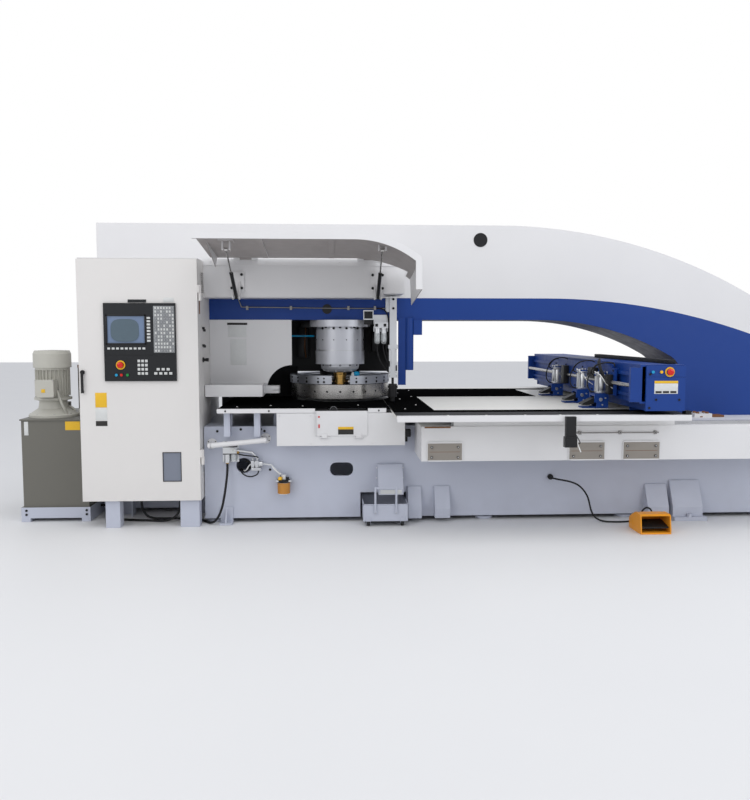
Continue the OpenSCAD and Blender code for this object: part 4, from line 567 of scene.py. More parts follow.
CORD_ROUTE = [
    (1449, -640, 297), (1449, -660, 297), (1449, -678, 297), (1455, -706, 297), (1477, -736, 295),
    (1516, -753, 290), (1564, -754, 279), (1612, -752, 258), (1652, -749, 222), (1682, -746, 176),
    (1698, -744, 126), (1710, -744, 80), (1730, -748, 40), (1766, -756, 14), (1814, -770, 6),
    (1872, -782, 6), (1934, -780, 6), (1990, -764, 6), (2044, -750, 6), (2084, -752, 9),
    (2110, -768, 28), (2118, -786, 60), (2104, -800, 92), (2074, -810, 108), (2044, -820, 96),
    (2026, -832, 72), (2018, -850, 50), (2017, -874, 41), (2017, -900, 40)]
HOSE_ROUTE = [
    (-766, -676, 420), (-766, -676, 400), (-766, -676, 380), (-768, -690, 330), (-774, -706, 270),
    (-784, -716, 200), (-798, -722, 130), (-818, -724, 74), (-848, -712, 30), (-886, -676, 10),
    (-922, -628, 8), (-966, -582, 8), (-1040, -546, 8), (-1120, -530, 8), (-1210, -524, 8),
    (-1290, -522, 9), (-1340, -521, 26), (-1370, -520, 70), (-1380, -520, 130), (-1380, -520, 180)]
CABLE_ROUTE = [
    (-1100, -600, 180), (-1100, -600, 140), (-1104, -606, 96), (-1122, -612, 52), (-1160, -610, 22),
    (-1220, -600, 9), (-1300, -586, 8), (-1400, -568, 8), (-1490, -546, 8), (-1564, -514, 8),
    (-1608, -474, 8), (-1635, -430, 8), (-1649, -386, 13), (-1657, -354, 27), (-1662, -329, 43),
    (-1669, -314, 52), (-1683, -304, 57), (-1700, -300, 58), (-1719.7, -300, 58)]


def free_cord(name, node, route, d):
    """A loose cord as a curve on the route of the solid that it stands for."""
    path = smooth_route(route, 6)
    curve = bpy.data.curves.new(name, "CURVE")
    curve.dimensions = "3D"
    curve.bevel_depth = d / 2 * MM
    curve.bevel_resolution = 5
    curve.use_fill_caps = True
    spline = curve.splines.new("POLY")
    spline.points.add(len(path) - 1)
    for p, co in zip(spline.points, path):
        p.co = (*v3(co), 1.0)
    obj = bpy.data.objects.new(name, curve)
    scene.collection.objects.link(obj)
    curve.materials.append(MAT["rubber"])
    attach(obj, "machine")
    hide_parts(node)


free_cord("foot_switch_cord", "pedal_cord", CORD_ROUTE, 12)
free_cord("main_air_hose", "air_hose", HOSE_ROUTE, 16)
free_cord("cabinet_power_cable", "cabinet_cable", CABLE_ROUTE, 16)


# Bed, frame and floor fittings

bolts("bed_tapped_screws", [(-677, BED_FRONT, 640), (-542, BED_FRONT, 640), (-835, BED_FRONT, 628),
                            (-518, BED_FRONT, 628), (-483, BED_FRONT, 363)], FRONT, 17, 5)
bolts("seat_bolts", [(2590, -355, 708), (2660, -355, 708), (2590, -410, 708), (2660, -410, 708)],
      UP, 22, 12, kind="hex", material="brown")
boxes("seat_block", "brown", "machine",
      [((2640, -429.5, 683), (2780, -340, 697)), ((2600, -431, 640), (2620, -429, 690))], 2)
boxes("column_edge_strip", "beige", "machine",
      [((2440, -641.5, 664), (3040, -637, 678))], 1)


def foot_bolts(bm):
    for x, y in ((-860, -560), (1000, -560), (2000, -560), (2980, -560), (-1600, -180), (-1600, 180),
                 (-860, 560), (0, 560), (1000, 560), (2000, 560), (2980, 560)):
        add_lathe(bm, (x, y, 17.5), UP, [(0, 27), (3, 27), (5, 31.5), (10, 31.5), (11.5, 29)], 6)


piece("levelling_nuts", "steel", "machine", foot_bolts)


def weld_seams(bm):
    """Thin fillets where the lugs meet the bed."""
    for x, top in ((452, 238), (548, 238), (640, 238), (744, 238), (2117, 238), (2266, 238),
                   (2290, 262), (2500, 262)):
        add_lathe(bm, (x, BED_FRONT - 1, 34), UP, [(0, 3.5), (top - 34, 3.5)], 8)
    add_lathe(bm, (2450, -643, 26), (0, 0, 1), [(0, 3), (30, 3)], 8)


piece("weld_seams", "pale", "machine", weld_seams)


def hole_rims(bm):
    """Black rims of the lifting hole and of the port in the blue band."""
    add_lathe(bm, (1011, FRAME_FRONT - 2.5, 1956), BACK,
              [(0, 44.5), (0, 50), (2.5, 50), (2.5, 44.5)], 40)
    add_lathe(bm, (-93, FRAME_FRONT - 3, 1461), BACK, [(0, 29.5), (0, 35), (3, 35), (3, 29.5)], 32)


piece("hole_rims", "black", "machine", hole_rims)


# Back of the machine: access covers and louvres, as (x0, x1, z0, z1)

REAR_FACE = 279
REAR_COVERS = ((-1500, -1120, 820, 1380), (900, 1300, 1600, 1820), (1650, 1980, 1580, 1740))
boxes("rear_covers", "white", "machine",
      [((x0, REAR_FACE, z0), (x1, REAR_FACE + 5, z1)) for x0, x1, z0, z1 in REAR_COVERS], 2)
bolts("rear_cover_screws",
      [(x, REAR_FACE + 5, z) for x0, x1, z0, z1 in REAR_COVERS
       for x in (x0 + 18, x1 - 18) for z in (z0 + 18, z1 - 18)], BACK, 13, 4)
boxes("rear_louvres", "black", "machine",
      [((-1440, REAR_FACE + 4.5, 900 + 26 * i), (-1180, REAR_FACE + 7, 908 + 26 * i)) for i in range(9)],
      0.6)


# Cabinet and its right side

bolts("cabinet_side_hooks", [(CABINET_RIGHT, -600, 1322), (CABINET_RIGHT, -560, 1308),
                             (CABINET_RIGHT, -600, 1206), (CABINET_RIGHT, -560, 1200)], RIGHT, 18, 16)


def key_lock(bm):
    add_rod(bm, (CABINET_RIGHT, -600, 1110), RIGHT, 34, 8)
    add_rod(bm, (CABINET_RIGHT + 8, -600, 1110), RIGHT, 20, 14)
    add_box(bm, (CABINET_RIGHT + 22, -603, 1098), (CABINET_RIGHT + 40, -597, 1122), 1.5)


piece("side_key_lock", "black", "machine", key_lock)
boxes("side_strip", "brown", "machine",
      [((CABINET_RIGHT - 1, -720, 1415), (CABINET_RIGHT + 2, -690, 1582))])
boxes("side_bare_plate", "paper", "machine",
      [((CABINET_RIGHT - 1, -725, 360), (CABINET_RIGHT + 2, -650, 508))])
boxes("cabinet_top_cover", "white", "machine", [((-1700, -751, 1770), (-930, -281, 1776))],
      2)
boxes("cabinet_side_grille", "black", "machine",
      [((-1702, -640 + 24 * i, 1480), (-1699, -632 + 24 * i, 1640)) for i in range(9)], 0.6)


front_plate("door_bare_plate_yellow", "label_yellow", "cabinet_door", DOOR_FRONT,
            (-1600, -1526), (806, 902))
front_plate("door_bare_plate_white", "paper", "cabinet_door", DOOR_FRONT,
            (-1600, -1526), (722, 800))
front_plate("door_bare_plate_dark", "label_dark", "cabinet_door", DOOR_FRONT,
            (-1600, -1526), (684, 717))
front_plate("door_bare_plate_small", "paper", "cabinet_door", DOOR_FRONT,
            (-1147, -1082), (1489, 1518))
boxes("window_frame", "black", "cabinet_door",
      bar_frame(-1175, -1053, 312, 508, 4, DOOR_FRONT - 3, DOOR_FRONT + 3), 1)
boxes("meter_behind_window", "silver", "cabinet_door",
      [((-1150, -773.4, 340), (-1078, -771.5, 418)), ((-1128, -773.4, 430), (-1098, -771.5, 470))], 0.8)


# Operator panel: screen, keys and buttons' rings, with no legends

boxes("screen_bezel", "black", "cabinet_door",
      bar_frame(-1518, -1260, 1215, 1409, 10, PANEL_FRONT - 2.5, PANEL_FRONT + 1), 1)


def screen_sheet(bm):
    """A faintly bulged glass face set in the bezel."""
    cols, rows = 14, 10
    x0, x1, z0, z1 = -1508, -1270, 1225, 1399
    grid = []
    for j in range(rows + 1):
        line = []
        for i in range(cols + 1):
            u, v = i / cols, j / rows
            bulge = 4.0 * (1 - (2 * u - 1) ** 2) * (1 - (2 * v - 1) ** 2)
            point = (x0 + (x1 - x0) * u, PANEL_FRONT + 5.5 - bulge, z0 + (z1 - z0) * v)
            line.append(bm.verts.new(v3(point)))
        grid.append(line)
    for j in range(rows):
        for i in range(cols):
            bm.faces.new([grid[j][i], grid[j][i + 1], grid[j + 1][i + 1], grid[j + 1][i]])


piece("screen_face", "screen_mask", "cabinet_door", screen_sheet)


def screen_disc(bm):
    """The brighter rounded field that shows on the dark screen."""
    x0, x1, z0, z1 = -1486, -1306, 1234, 1380
    cx, cz = (x0 + x1) / 2, (z0 + z1) / 2
    points = []
    for k in range(48):
        a = 2 * math.pi * k / 48
        c, s = math.cos(a), math.sin(a)
        px = cx + (x1 - x0) / 2 * math.copysign(abs(c) ** 0.6, c)
        pz = cz + (z1 - z0) / 2 * math.copysign(abs(s) ** 0.6, s)
        points.append(bm.verts.new(v3((px, PANEL_FRONT + 0.8, pz))))
    bm.faces.new(points)


piece("screen_field", "screen", "cabinet_door", screen_disc, smooth=False)

# Keys: the middle of each cap, and its width and height
KEY_FRONT = PANEL_FRONT - 2
keys = [((-1243, 1240 + i * 21), (24, 15)) for i in range(8)]
keys += [((-1500 + i * 28, 1190), (20, 15)) for i in range(9)]
keys += [((-1198 + i * 18.5, 1175 + j * 23), (14, 17)) for i in range(7) for j in range(13)]
keys += [((-1310 + i * 24, 1028 + j * 27), (19, 19)) for i in range(3) for j in range(4)]
keys += [((-1203 + i * 32, 1028), (22, 18)) for i in range(4)]
keys += [((-1187 + i * 32, 1055), (22, 18)) for i in range(3)]
pale_caps, grey_caps = [], []
for (x, z), (w, h) in keys:
    caps = grey_caps if random.random() < 0.28 and x > -1230 and z > 1150 else pale_caps
    caps.append(((x - w / 2 + 1, KEY_FRONT - 1.0, z - h / 2 + 1),
                 (x + w / 2 - 1, KEY_FRONT + 0.4, z + h / 2 - 1)))
boxes("key_caps", "key", "cabinet_door", pale_caps, 0.6)
boxes("key_caps_grey", "key_dark", "cabinet_door", grey_caps, 0.6)
boxes("keyboard_field", "key_dark", "cabinet_door",
      [((-1212, PANEL_FRONT - 0.8, 1163), (-1078, PANEL_FRONT + 0.3, 1464))], 0.3)


def stop_ring(bm, at):
    """Yellow ring round a stop button, clear of its pressed cap."""
    add_lathe(bm, at, FRONT, [(0, 21), (0, 30), (1.8, 29.5), (1.8, 21), (0, 21)], 40)


piece("panel_stop_ring", "yellow", "cabinet_door",
      lambda bm: stop_ring(bm, (-1427, -794.4, 1083)))
piece("beam_stop_ring", "yellow", "feed_beam",
      lambda bm: stop_ring(bm, (1991, -1306, 1054)))
bolts("panel_corner_screws", [(x, PANEL_FRONT, z) for x in (-1523, -1078) for z in (986, 1135, 1158, 1475)],
      FRONT, 8, 2, body="cabinet_door", material="black")


# Head: ram, turret and the parts round them

def ram_band(bm):
    for z in (1162, 1318):
        add_lathe(bm, (0, RAM_Y, z), UP, [(0, 176.6), (3, 177.2), (6, 176.6)], 72)


piece("ram_groove_rings", "silver", "machine", ram_band)


def ram_screws(bm):
    """Two rows of screws round the ram's cylinder, and those under its flange."""
    for k in range(12):
        x, y, c, s = around(RAM_Y, 175, k * 30 - 75)
        add_socket_bolt(bm, (x, y, 1324), (c, s, 0), 17, 9)
        add_socket_bolt(bm, (x, y, 1241), (c, s, 0), 8, 4)
    for k in range(12):
        x, y, c, s = around(RAM_Y, 205, k * 30)
        if s < 0.55:
            add_socket_bolt(bm, (x, y, 1335), DOWN, 18, 10)


piece("ram_screws", "black", "machine", ram_screws)


def gland_screws(bm):
    for k in range(12):
        x, y, c, s = around(RAM_Y, 138, k * 30)
        add_socket_bolt(bm, (x, y, 1056), (c, s, -0.15), 13, 6)


piece("gland_screws", "black", "machine", gland_screws)


def rod_rings(bm):
    for z in (984, 994):
        add_lathe(bm, (0, RAM_Y, z), UP, [(0, 47.2), (2, 48.6), (4, 47.2)], 48)


piece("ram_rod_scraper_rings", "bronze", "ram_rod", rod_rings)


def station_tools(bm):
    """Rims and keys of the punch holders that stand in the turret."""
    for i in range(24):
        x, y = around(TURRET_Y, TOOL_CIRCLE, i * 15 - 90)[:2]
        if i % 2:
            add_lathe(bm, (x, y, 926), UP, [(0, 24.5), (2, 26), (12, 26), (14, 24.5)], 24)
            add_lathe(bm, (x, y, 946.5), UP, [(0, 20), (1.5, 20), (1.5, 9), (0.4, 8), (0.4, 0)], 24)
        elif i:
            add_lathe(bm, (x, y, 911.5), UP, [(0, 26), (0, 34), (4, 34), (5, 33), (5, 26), (0, 26)], 28)


piece("punch_holder_rims", "steel", "upper_turret", station_tools)


def turret_rim(bm):
    """Bushes of the stations in the turret's rim, and the screws on its top."""
    for i in range(24):
        x, y, c, s = around(TURRET_Y, 366, i * 15 - 90)
        add_lathe(bm, (x, y, 860), (c, s, 0), [(0, 7.2), (5.5, 7.2), (5.5, 3.5), (2, 3.2), (2, 0)], 16)
    for i in range(48):
        x, y = around(TURRET_Y, 352, i * 7.5 + 3.75)[:2]
        add_socket_bolt(bm, (x, y, 911.6), UP, 11, 3.5)


piece("turret_rim_screws", "black", "upper_turret", turret_rim)


def guard_screws(bm):
    for degrees in (200, 215, 230, 245, 252, 288, 300, 315, 330, 345, 20, 60, 100, 140, 170):
        x, y, c, s = around(TURRET_Y, 382.6, degrees)
        add_socket_bolt(bm, (x, y, 958), (c, s, 0), 12, 5)
        add_lathe(bm, (x, y, 932), (c, s, 0), [(0, 9), (2, 9), (2, 0)], 16)


piece("guard_ring_screws", "black", "machine", guard_screws)
piece("guard_blue_fitting", "cyan", "machine",
      lambda bm: add_lathe(bm, (120, -196, 978), UP, [(0, 20), (8, 24), (20, 24), (30, 16), (34, 0)], 24))
piece("guard_white_fitting", "paper", "machine",
      lambda bm: add_lathe(bm, (92, -203, 978), UP, [(0, 12), (14, 12), (18, 8), (26, 8), (26, 0)], 20))
boxes("head_side_bracket", "black", "machine", [((172, -322, 1350), (230, -280.5, 1438))], 2)
pipe("blue_air_line", "cyan", "machine",
     [[(-930, -60, 1268), (-700, -60, 1268), (-420, -60, 1268), (-260, -60, 1268), (-192, -80, 1268)]], 14)
boxes("throat_dark_fittings", "black", "machine",
      [((-330, 180, 1100), (-240, 268, 1330)), ((-300, 120, 1330), (-180, 268, 1384)),
       ((250, 150, 1150), (340, 268, 1300))], 3)
pipe("throat_dark_lines", "brown", "machine",
     [[(-260, 170, 1384), (-262, 168, 1300), (-270, 160, 1200), (-262, 150, 1120), (-262, 176, 1102)]], 12)
bolts("guide_post_screws", [(379, -344, 1465), (379, -344, 1530)], FRONT, 15, 5)
bolts("air_cylinder_screws", [(377 + sx * 22, -342.2, z) for sx in (-1, 1) for z in (1172, 1008)], FRONT,
      8, 3, material="steel")
bolts("clamp_block_screws", [(377 + sx * 25, -347.3, 984) for sx in (-1, 1)], FRONT, 9, 3,
      material="steel")


def reed_switch(bm):
    add_box(bm, (346, -348, 1050), (356, -340, 1090), 1.5)
    add_box(bm, (396, -348, 1020), (406, -340, 1060), 1.5)


piece("reed_switches", "black", "machine", reed_switch)
pipe("head_black_lines", "rubber", "machine", [
    [(262, -292, 1466), (300, -296, 1462), (330, -306, 1440), (346, -312, 1390), (350, -316, 1320),
     (338, -318, 1240), (330, -318, 1180), (342, -322, 1120), (347, -326, 1030)],
    [(236, -300, 1384), (236, -308, 1350), (262, -316, 1330), (300, -318, 1326)],
    [(312, -318, 1228), (308, -320, 1190), (320, -324, 1130), (336, -330, 1090), (347, -338, 1072)],
    [(268, -316, 1228), (266, -320, 1160), (286, -322, 1090), (318, -326, 1040), (346, -334, 1010)]], 9)
boxes("valve_block_caps", "black", "machine",
      [((172, -333, 1392), (232, -328, 1444)), ((250, -340.5, 1335), (270, -337.5, 1356)),
      ((310, -340.5, 1335), (330, -337.5, 1356))], 1)


def filter_bowls(bm):
    for x in (266, 314):
        add_lathe(bm, (x, -313, 1210), UP, [(0, 0), (2, 12), (10, 19), (24, 21.5), (78, 21.5), (78, 0)], 28)


piece("filter_bowls", "bowl", "machine", filter_bowls)
bolts("head_bracket_screws",
      [(x, HEAD_FRONT - 17.5, z) for x in (-737, -669, 222, 290) for z in (1595, 1685)], FRONT, 19, 3)
# Dark sheets across the back of the throat, behind the turret: painted shade standing in for the throat's
# far side in shadow.
boxes("throat_shade_sheets", "dark_sheet", "machine",
      [((-620, 264, 786), (-330, 268, 1030)), ((-925, 264, 700), (-621, 268, 905))], 0.5)
bolts("head_box_screws", [(x, HEAD_FRONT - 5, 1770) for x in (-880, -500, -250, 0, 180, 360)], FRONT, 10,
      3, material="white")
boxes("head_box_seams", "white", "machine", [((-930, -521.5, 1531), (440, -519.5, 1537))],
      0.6)
boxes("throat_plate_labels", "paper", "machine",
      [((-798, -287.2, 1262), (-668, -285.8, 1340)), ((-784, -287.2, 1062), (-670, -285.8, 1246))], 0.4)
boxes("throat_plate_strip", "label_dark", "machine",
      [((-804, -288, 1347), (-662, -285.8, 1363))], 0.5)
pipe("band_pipe_ends", "brown", "machine", [[(250, -290, 1466), (300, -291, 1466)]], 9)


# Tray, table and front cover

boxes("tray_rubber_mat", "rubber", "machine", [((-918, -553, 860), (-542, -293, 863.5))], 1)
ball_spots = [(x, -560 - (x % 3) * 40) for x in (-700, -480, -260, 120)]
ball_spots += [(420, -840), (520, -560), (450, -60), (560, 180), (480, 560), (600, 820)]


def ball_rollers(bm):
    """Small steel balls in white cups that stand just out of the bristles."""
    for x, y in ball_spots:
        add_lathe(bm, (x, y, 791), UP, [(0, 7.5), (2.4, 7.5), (3.4, 6), (3.4, 4.6)], 12)
        add_lathe(bm, (x, y, 792.5), UP, [(0, 4.6), (2, 4.2), (3.6, 2.6), (4.3, 0)], 12)


piece("table_ball_rollers", "tie", "machine", ball_rollers)
bolts("table_lip_screws", [(x, TABLE_FRONT + 26, 791) for x in (642, 876, 1115, 1330, 1560)], UP, 14, 3.5,
      material="tie")
bolts("trim_screws", [(-475, -790, 778), (-760, -790, 778), (250, -790, 778)], FRONT, 12, 2.5)
bolts("cover_box_screws", [(x, COVER_FRONT, z) for x in (-405, -200, 205, 405) for z in (560, 745)], FRONT,
      9, 2.5, material="white")
boxes("access_door_label", "label_dark", "access_door",
      [((-20, -795.6, 620), (82, -793.5, 654))], 0.5)
boxes("access_door_label_top", "label_yellow", "access_door",
      [((-20, -795.6, 654.5), (82, -793.5, 671))], 0.5)


def door_lock(bm):
    add_rod(bm, (-146, -793.8, 738), FRONT, 12, 4)
    add_box(bm, (-150, -798, 664), (-141, -793.6, 688), 1)


piece("access_door_lock", "red", "access_door", door_lock)
piece("sheet_stop_rosette", "black", "machine",
      lambda bm: add_lathe(bm, (-50, -772.5, 781), FRONT, [(0, 12), (3, 12), (5, 9), (5, 0)], 28))


def knurled_nut(bm):
    """Ridges round the sheet stop's nut."""
    for k in range(28):
        a = 2 * math.pi * k / 28
        x, z = -50 + 23 * math.cos(a), 781 + 23 * math.sin(a)
        add_box(bm, (x - 1.2, -772, z - 1.2), (x + 1.2, -751, z + 1.2), 0.3)


piece("sheet_stop_knurl", "silver", "machine", knurled_nut)
boxes("cover_side_socket", "black", "machine",
      [((425, -735, 594), (470, -680, 642)), ((425, -728, 560), (448, -690, 594))], 3)
boxes("guide_beam_strip", "brown", "machine", [((524, -1061.5, 690), (690, -1059.5, 700))],
      0.5)


# Guide beam: sensor, its cable, and the pads between these X values

GUIDE_PADS = ((539, 767), (1448, 1685), (1799, 2044))
bolts("sensor_screws", [(1365, -1336, 612), (1401, -1336, 612), (1365, -1336, 652), (1401, -1336, 652)],
      FRONT, 6, 2)
pipe("sensor_lead", "rubber", "machine",
     [[(1412, -1316, 640), (1436, -1312, 620), (1450, -1290, 628), (1452, -1200, 660),
       (1462, -1100, 668), (1490, -1070, 655)]], 6)
pipe("sensor_white_tie", "tie", "machine",
     [[(1424, -1316, 640), (1430, -1320, 612), (1440, -1324, 586), (1446, -1326, 570)]], 7)
bolts("pipe_clip_screws", [(x, -1074, 656) for x in (1520, 1780, 2010)], FRONT, 6, 2)
boxes("pad_seams", "brown", "machine",
      [((x0 + 18, -1071, 538), (x1 - 18, -1069.6, 540.5)) for x0, x1 in GUIDE_PADS], 0.3)
boxes("guide_pads_faces", "beige", "machine",
      [((x0 + 5, -1070.8, 486), (x1 - 5, -1069.4, 594)) for x0, x1 in GUIDE_PADS], 0.6)
bolts("pad_screws", [(x, -1070.8, z) for x0, x1 in GUIDE_PADS
                     for x in (x0 + 30, x1 - 30) for z in (505, 570)], FRONT, 15, 6.5)


# Air service unit and oiler

def regulator(bm):
    add_lathe(bm, (-766, -676, 528), UP, [(0, 21), (10, 21), (14, 17), (30, 17), (34, 13), (34, 0)], 28)
    add_box(bm, (-792, -702, 478), (-698, -648, 484), 2)
    add_box(bm, (-792, -702, 526), (-698, -648, 531), 2)


piece("regulator_caps", "black", "machine", regulator)


def gauge(bm):
    add_lathe(bm, (-722, -718, 506), FRONT, [(0, 17.5), (2, 17.5), (3, 15.5), (1.2, 15.2), (1.2, 0)], 32)


piece("gauge_face", "paper", "machine", gauge)
boxes("gauge_hand", "black", "machine", [((-723, -720.4, 504), (-721, -719.4, 516))], 0.3)
piece("service_bowl", "bowl", "machine",
      lambda bm: add_lathe(bm, (-722, -676, 424), UP,
                           [(0, 0), (1, 10), (6, 17), (14, 20), (50, 20), (50, 0)], 28))
pipe("service_black_lines", "rubber", "machine", [
    [(-700, -676, 478), (-660, -690, 472), (-610, -694, 466), (-566, -684, 458), (-560, -676, 446)],
    [(-676, -640, 372), (-672, -668, 350), (-640, -688, 330), (-600, -690, 326), (-566, -686, 340),
     (-556, -678, 366), (-556, -676, 392)],
    [(-645, -640, 420), (-640, -664, 428), (-618, -684, 424), (-600, -682, 414)],
    [(-640, -640, 384), (-628, -662, 372), (-612, -676, 384), (-600, -676, 398)]], 9)
pipe("service_white_lines", "tie", "machine", [
    [(-660, -640, 360), (-650, -664, 360), (-634, -684, 376), (-620, -682, 398), (-606, -680, 408)],
    [(-472, -676, 400), (-452, -684, 372), (-424, -690, 352), (-404, -690, 342)]], 7)


def solenoids(bm):
    for x in (-594, -566):
        add_box(bm, (x - 11, -706, 388), (x + 11, -652, 434), 2)
        add_rod(bm, (x, -680, 434), UP, 14, 16)
    add_box(bm, (-604, -700, 366), (-540, -656, 386), 2)


piece("service_valves", "silver", "machine", solenoids)


def brass_fittings(bm):
    add_hex(bm, (-700, -676, 492), RIGHT, 20, 16)
    add_hex(bm, (-548, -676, 400), RIGHT, 18, 14)
    add_hex(bm, (-766, -676, 414), UP, 22, 12)


piece("service_brass_fittings", "bronze", "machine", brass_fittings)


def cup_glass(bm):
    add_lathe(bm, (-388, -682, 206), UP, [(0, 0), (0, 38), (4, 43), (74, 43), (78, 40), (78, 0)], 40)


piece("oil_cup_glass", "oil", "machine", cup_glass)


def cup_lid(bm):
    add_lathe(bm, (-388, -682, 284), UP, [(0, 44), (16, 44), (20, 38), (20, 0)], 40)
    add_rod(bm, (-362, -690, 300), UP, 22, 20)
    add_rod(bm, (-404, -682, 298), UP, 14, 34)


piece("oil_cup_lid", "black", "machine", cup_lid)
piece("oil_cup_plug", "yellow", "machine",
      lambda bm: add_lathe(bm, (-412, -706, 304), UP, [(0, 13), (14, 13), (20, 9), (20, 0)], 24))
bolts("handrail_flange_screws", [(x + dx, -646, z + dz) for x, z in ((-870, 545), (-510, 578))
                                 for dx in (-24, 24) for dz in (-14, 14)], FRONT, 8, 3)
bolts("chute_screws", [(x, -644, z) for x in (243, 425) for z in (230, 300, 370)], FRONT, 9, 3,
      material="white")
boxes("chute_front_face", "paper", "machine", [((262, -771.2, 212), (406, -769.5, 240))],
      0.6)


# Hydraulic unit

boxes("tank_level_gauge", "paper", "machine", [((-2150, -544, 596), (-2122, -539, 690))], 2)
boxes("tank_bare_plate", "label_yellow", "machine",
      [((-1876, -541.5, 630), (-1776, -539.5, 690))], 0.5)
boxes("motor_box_plate", "label_yellow", "machine",
      [((-2038, -513.5, 884), (-2012, -511, 908))], 0.5)
bolts("motor_box_screws", [(x, -512, z) for x in (-2074, -1961) for z in (857, 967)], FRONT, 8, 3,
      material="steel")
bolts("pump_flange_bolts",
      [(-2020 + 148 * math.cos(a), -330 + 148 * math.sin(a), 722)
       for a in (math.radians(k * 45 + 20) for k in range(8))],
      UP, 16, 10, kind="hex", material="steel")
bolts("tank_foot_bolts", [(-2150, -552, 50), (-2150, -552, 78), (-1745, -552, 50), (-1745, -552, 78)],
      FRONT, 16, 5)
pipe("tank_oil_lines", "motor", "machine", [
    [(-1958, -430, 890), (-1945, -440, 860), (-1925, -440, 800), (-1905, -420, 740), (-1900, -400, 706)],
    [(-1945, -300, 760), (-1915, -310, 770), (-1890, -300, 750), (-1880, -290, 706)],
    [(-1850, -188, 760), (-1850, -230, 762), (-1860, -262, 740), (-1862, -270, 706)]], 18)


def cooler_fan(bm):
    """Wire guard over the cooler's fan: its rim, five rings and six spokes."""
    add_lathe(bm, (-1891, -40, 900), LEFT, washer(112, 118, 6), 40)
    for r in (30, 50, 70, 90, 108):
        add_lathe(bm, (-1894, -40, 900), LEFT, washer(r - 1.4, r + 1.4, 2.4), 40)
    hub = Vector((-1894.5, -40, 900))
    for k in range(6):
        a = math.radians(60 * k)
        end = hub + Vector((0, math.cos(a) * 114, math.sin(a) * 114))
        add_tube(bm, [hub, (hub + end) / 2, end], 3, 8, 2)


piece("cooler_fan_guard", "silver", "machine", cooler_fan)
boxes("cooler_housing_trim", "brown", "machine", [((-1892, -192, 1040), (-1778, 112, 1062))],
      2)


# Hood

HOOD_AXIS = Vector((0, -530, 1800))
HOOD_RISE = math.radians(-6.2)


def on_hood(x, y, z):
    """A point in the hood's own frame, in mm, put into the machine's."""
    c, s = math.cos(HOOD_RISE), math.sin(HOOD_RISE)
    return (x, HOOD_AXIS.y + y * c - z * s, HOOD_AXIS.z + y * s + z * c)


def hood_screws(bm):
    up = Vector(on_hood(0, 0, 1)) - Vector(on_hood(0, 0, 0))
    for x in (-666, -614, 174, 226):
        add_socket_bolt(bm, on_hood(x, -48, 2.5), up, 11, 5)


piece("hood_leaf_screws", "black", "hood", hood_screws)


def hood_stiffener(bm):
    """Flat ribs on the hood's underside, as slabs in the hood's own frame."""
    for x in (-500, -60):
        corners = [on_hood(x + sx, y, z) for sx in (-18, 18) for y in (-690, -60) for z in (-15, -4.8)]
        verts = [bm.verts.new(v3(p)) for p in corners]
        for f in ((0, 1, 3, 2), (4, 6, 7, 5), (0, 4, 5, 1), (2, 3, 7, 6), (0, 2, 6, 4), (1, 5, 7, 3)):
            bm.faces.new([verts[k] for k in f])


piece("hood_stiffeners", "hood", "hood", hood_stiffener)


# Feed beam and clamps

front_plate("beam_sign_plate", "paper", "feed_beam", BEAM_END, (1899, 2045), (921, 984), 0.5)
front_plate("beam_sign_plate_top", "label_yellow", "feed_beam", BEAM_END,
            (1899, 2045), (984.5, 1000), 0.5)
boxes("beam_sign_plate_marks", "label_dark", "feed_beam",
      [((1906 + i * 46, BEAM_END - 2.4, 925), (1944 + i * 46, BEAM_END - 1, 938)) for i in range(3)], 0.3)
bolts("beam_end_bolts",
      [(1911, BEAM_END, 885), (2055, BEAM_END, 884), (1870, BEAM_END, 1040), (1870, BEAM_END, 835)],
      FRONT, 14, 5, body="feed_beam")
boxes("beam_cover_seams", "blue", "feed_beam",
      [((1814.5, y, 862), (1817, y + 6, 900)) for y in range(-1250, 1250, 250)], 0.5)


def ball_screw(bm):
    """The carriage's screw, its thread as a row of ridges."""
    add_lathe(bm, (1766, -1262, 970), BACK, [(0, 10.5), (2524, 10.5)], 20)
    for k in range(126):
        add_lathe(bm, (1766, -1256 + k * 20, 970), BACK,
                  [(0, 10.6), (5, 12.4), (10, 12.4), (15, 10.6)], 12)


piece("ball_screw", "steel", "feed_beam", ball_screw)


def drag_chain(bm):
    """Cable chain on top of the beam's rear edge."""
    for k in range(70):
        y = -1200 + k * 20
        add_box(bm, (2020, y, 1098), (2070, y + 17, 1124), 2)


piece("beam_cable_chain", "rubber", "feed_beam", drag_chain)


def cylinder_dress(bm):
    for y in CLAMPS:
        for sx in (-1, 1):
            for sy in (-1, 1):
                add_rod(bm, (1740 + sx * 30, y + sy * 30, 889), UP, 9, 136)
                add_hex(bm, (1740 + sx * 30, y + sy * 30, 1026), UP, 12, 8)
        add_rod(bm, (1740, y, 1025.8), UP, 30, 12)


piece("clamp_cylinder_rods", "silver", "clamp_carriage", cylinder_dress)


def cylinder_skin(bm):
    for y in CLAMPS:
        add_lathe(bm, (1740, y, 903), UP, [(0, 35.2), (2, 36.4), (98, 36.4), (100, 35.2)], 40)
        add_box(bm, (1702, y - 38, 888.5), (1778, y + 38, 903), 3)
        add_box(bm, (1702, y - 38, 1003), (1778, y + 38, 1018.5), 3)


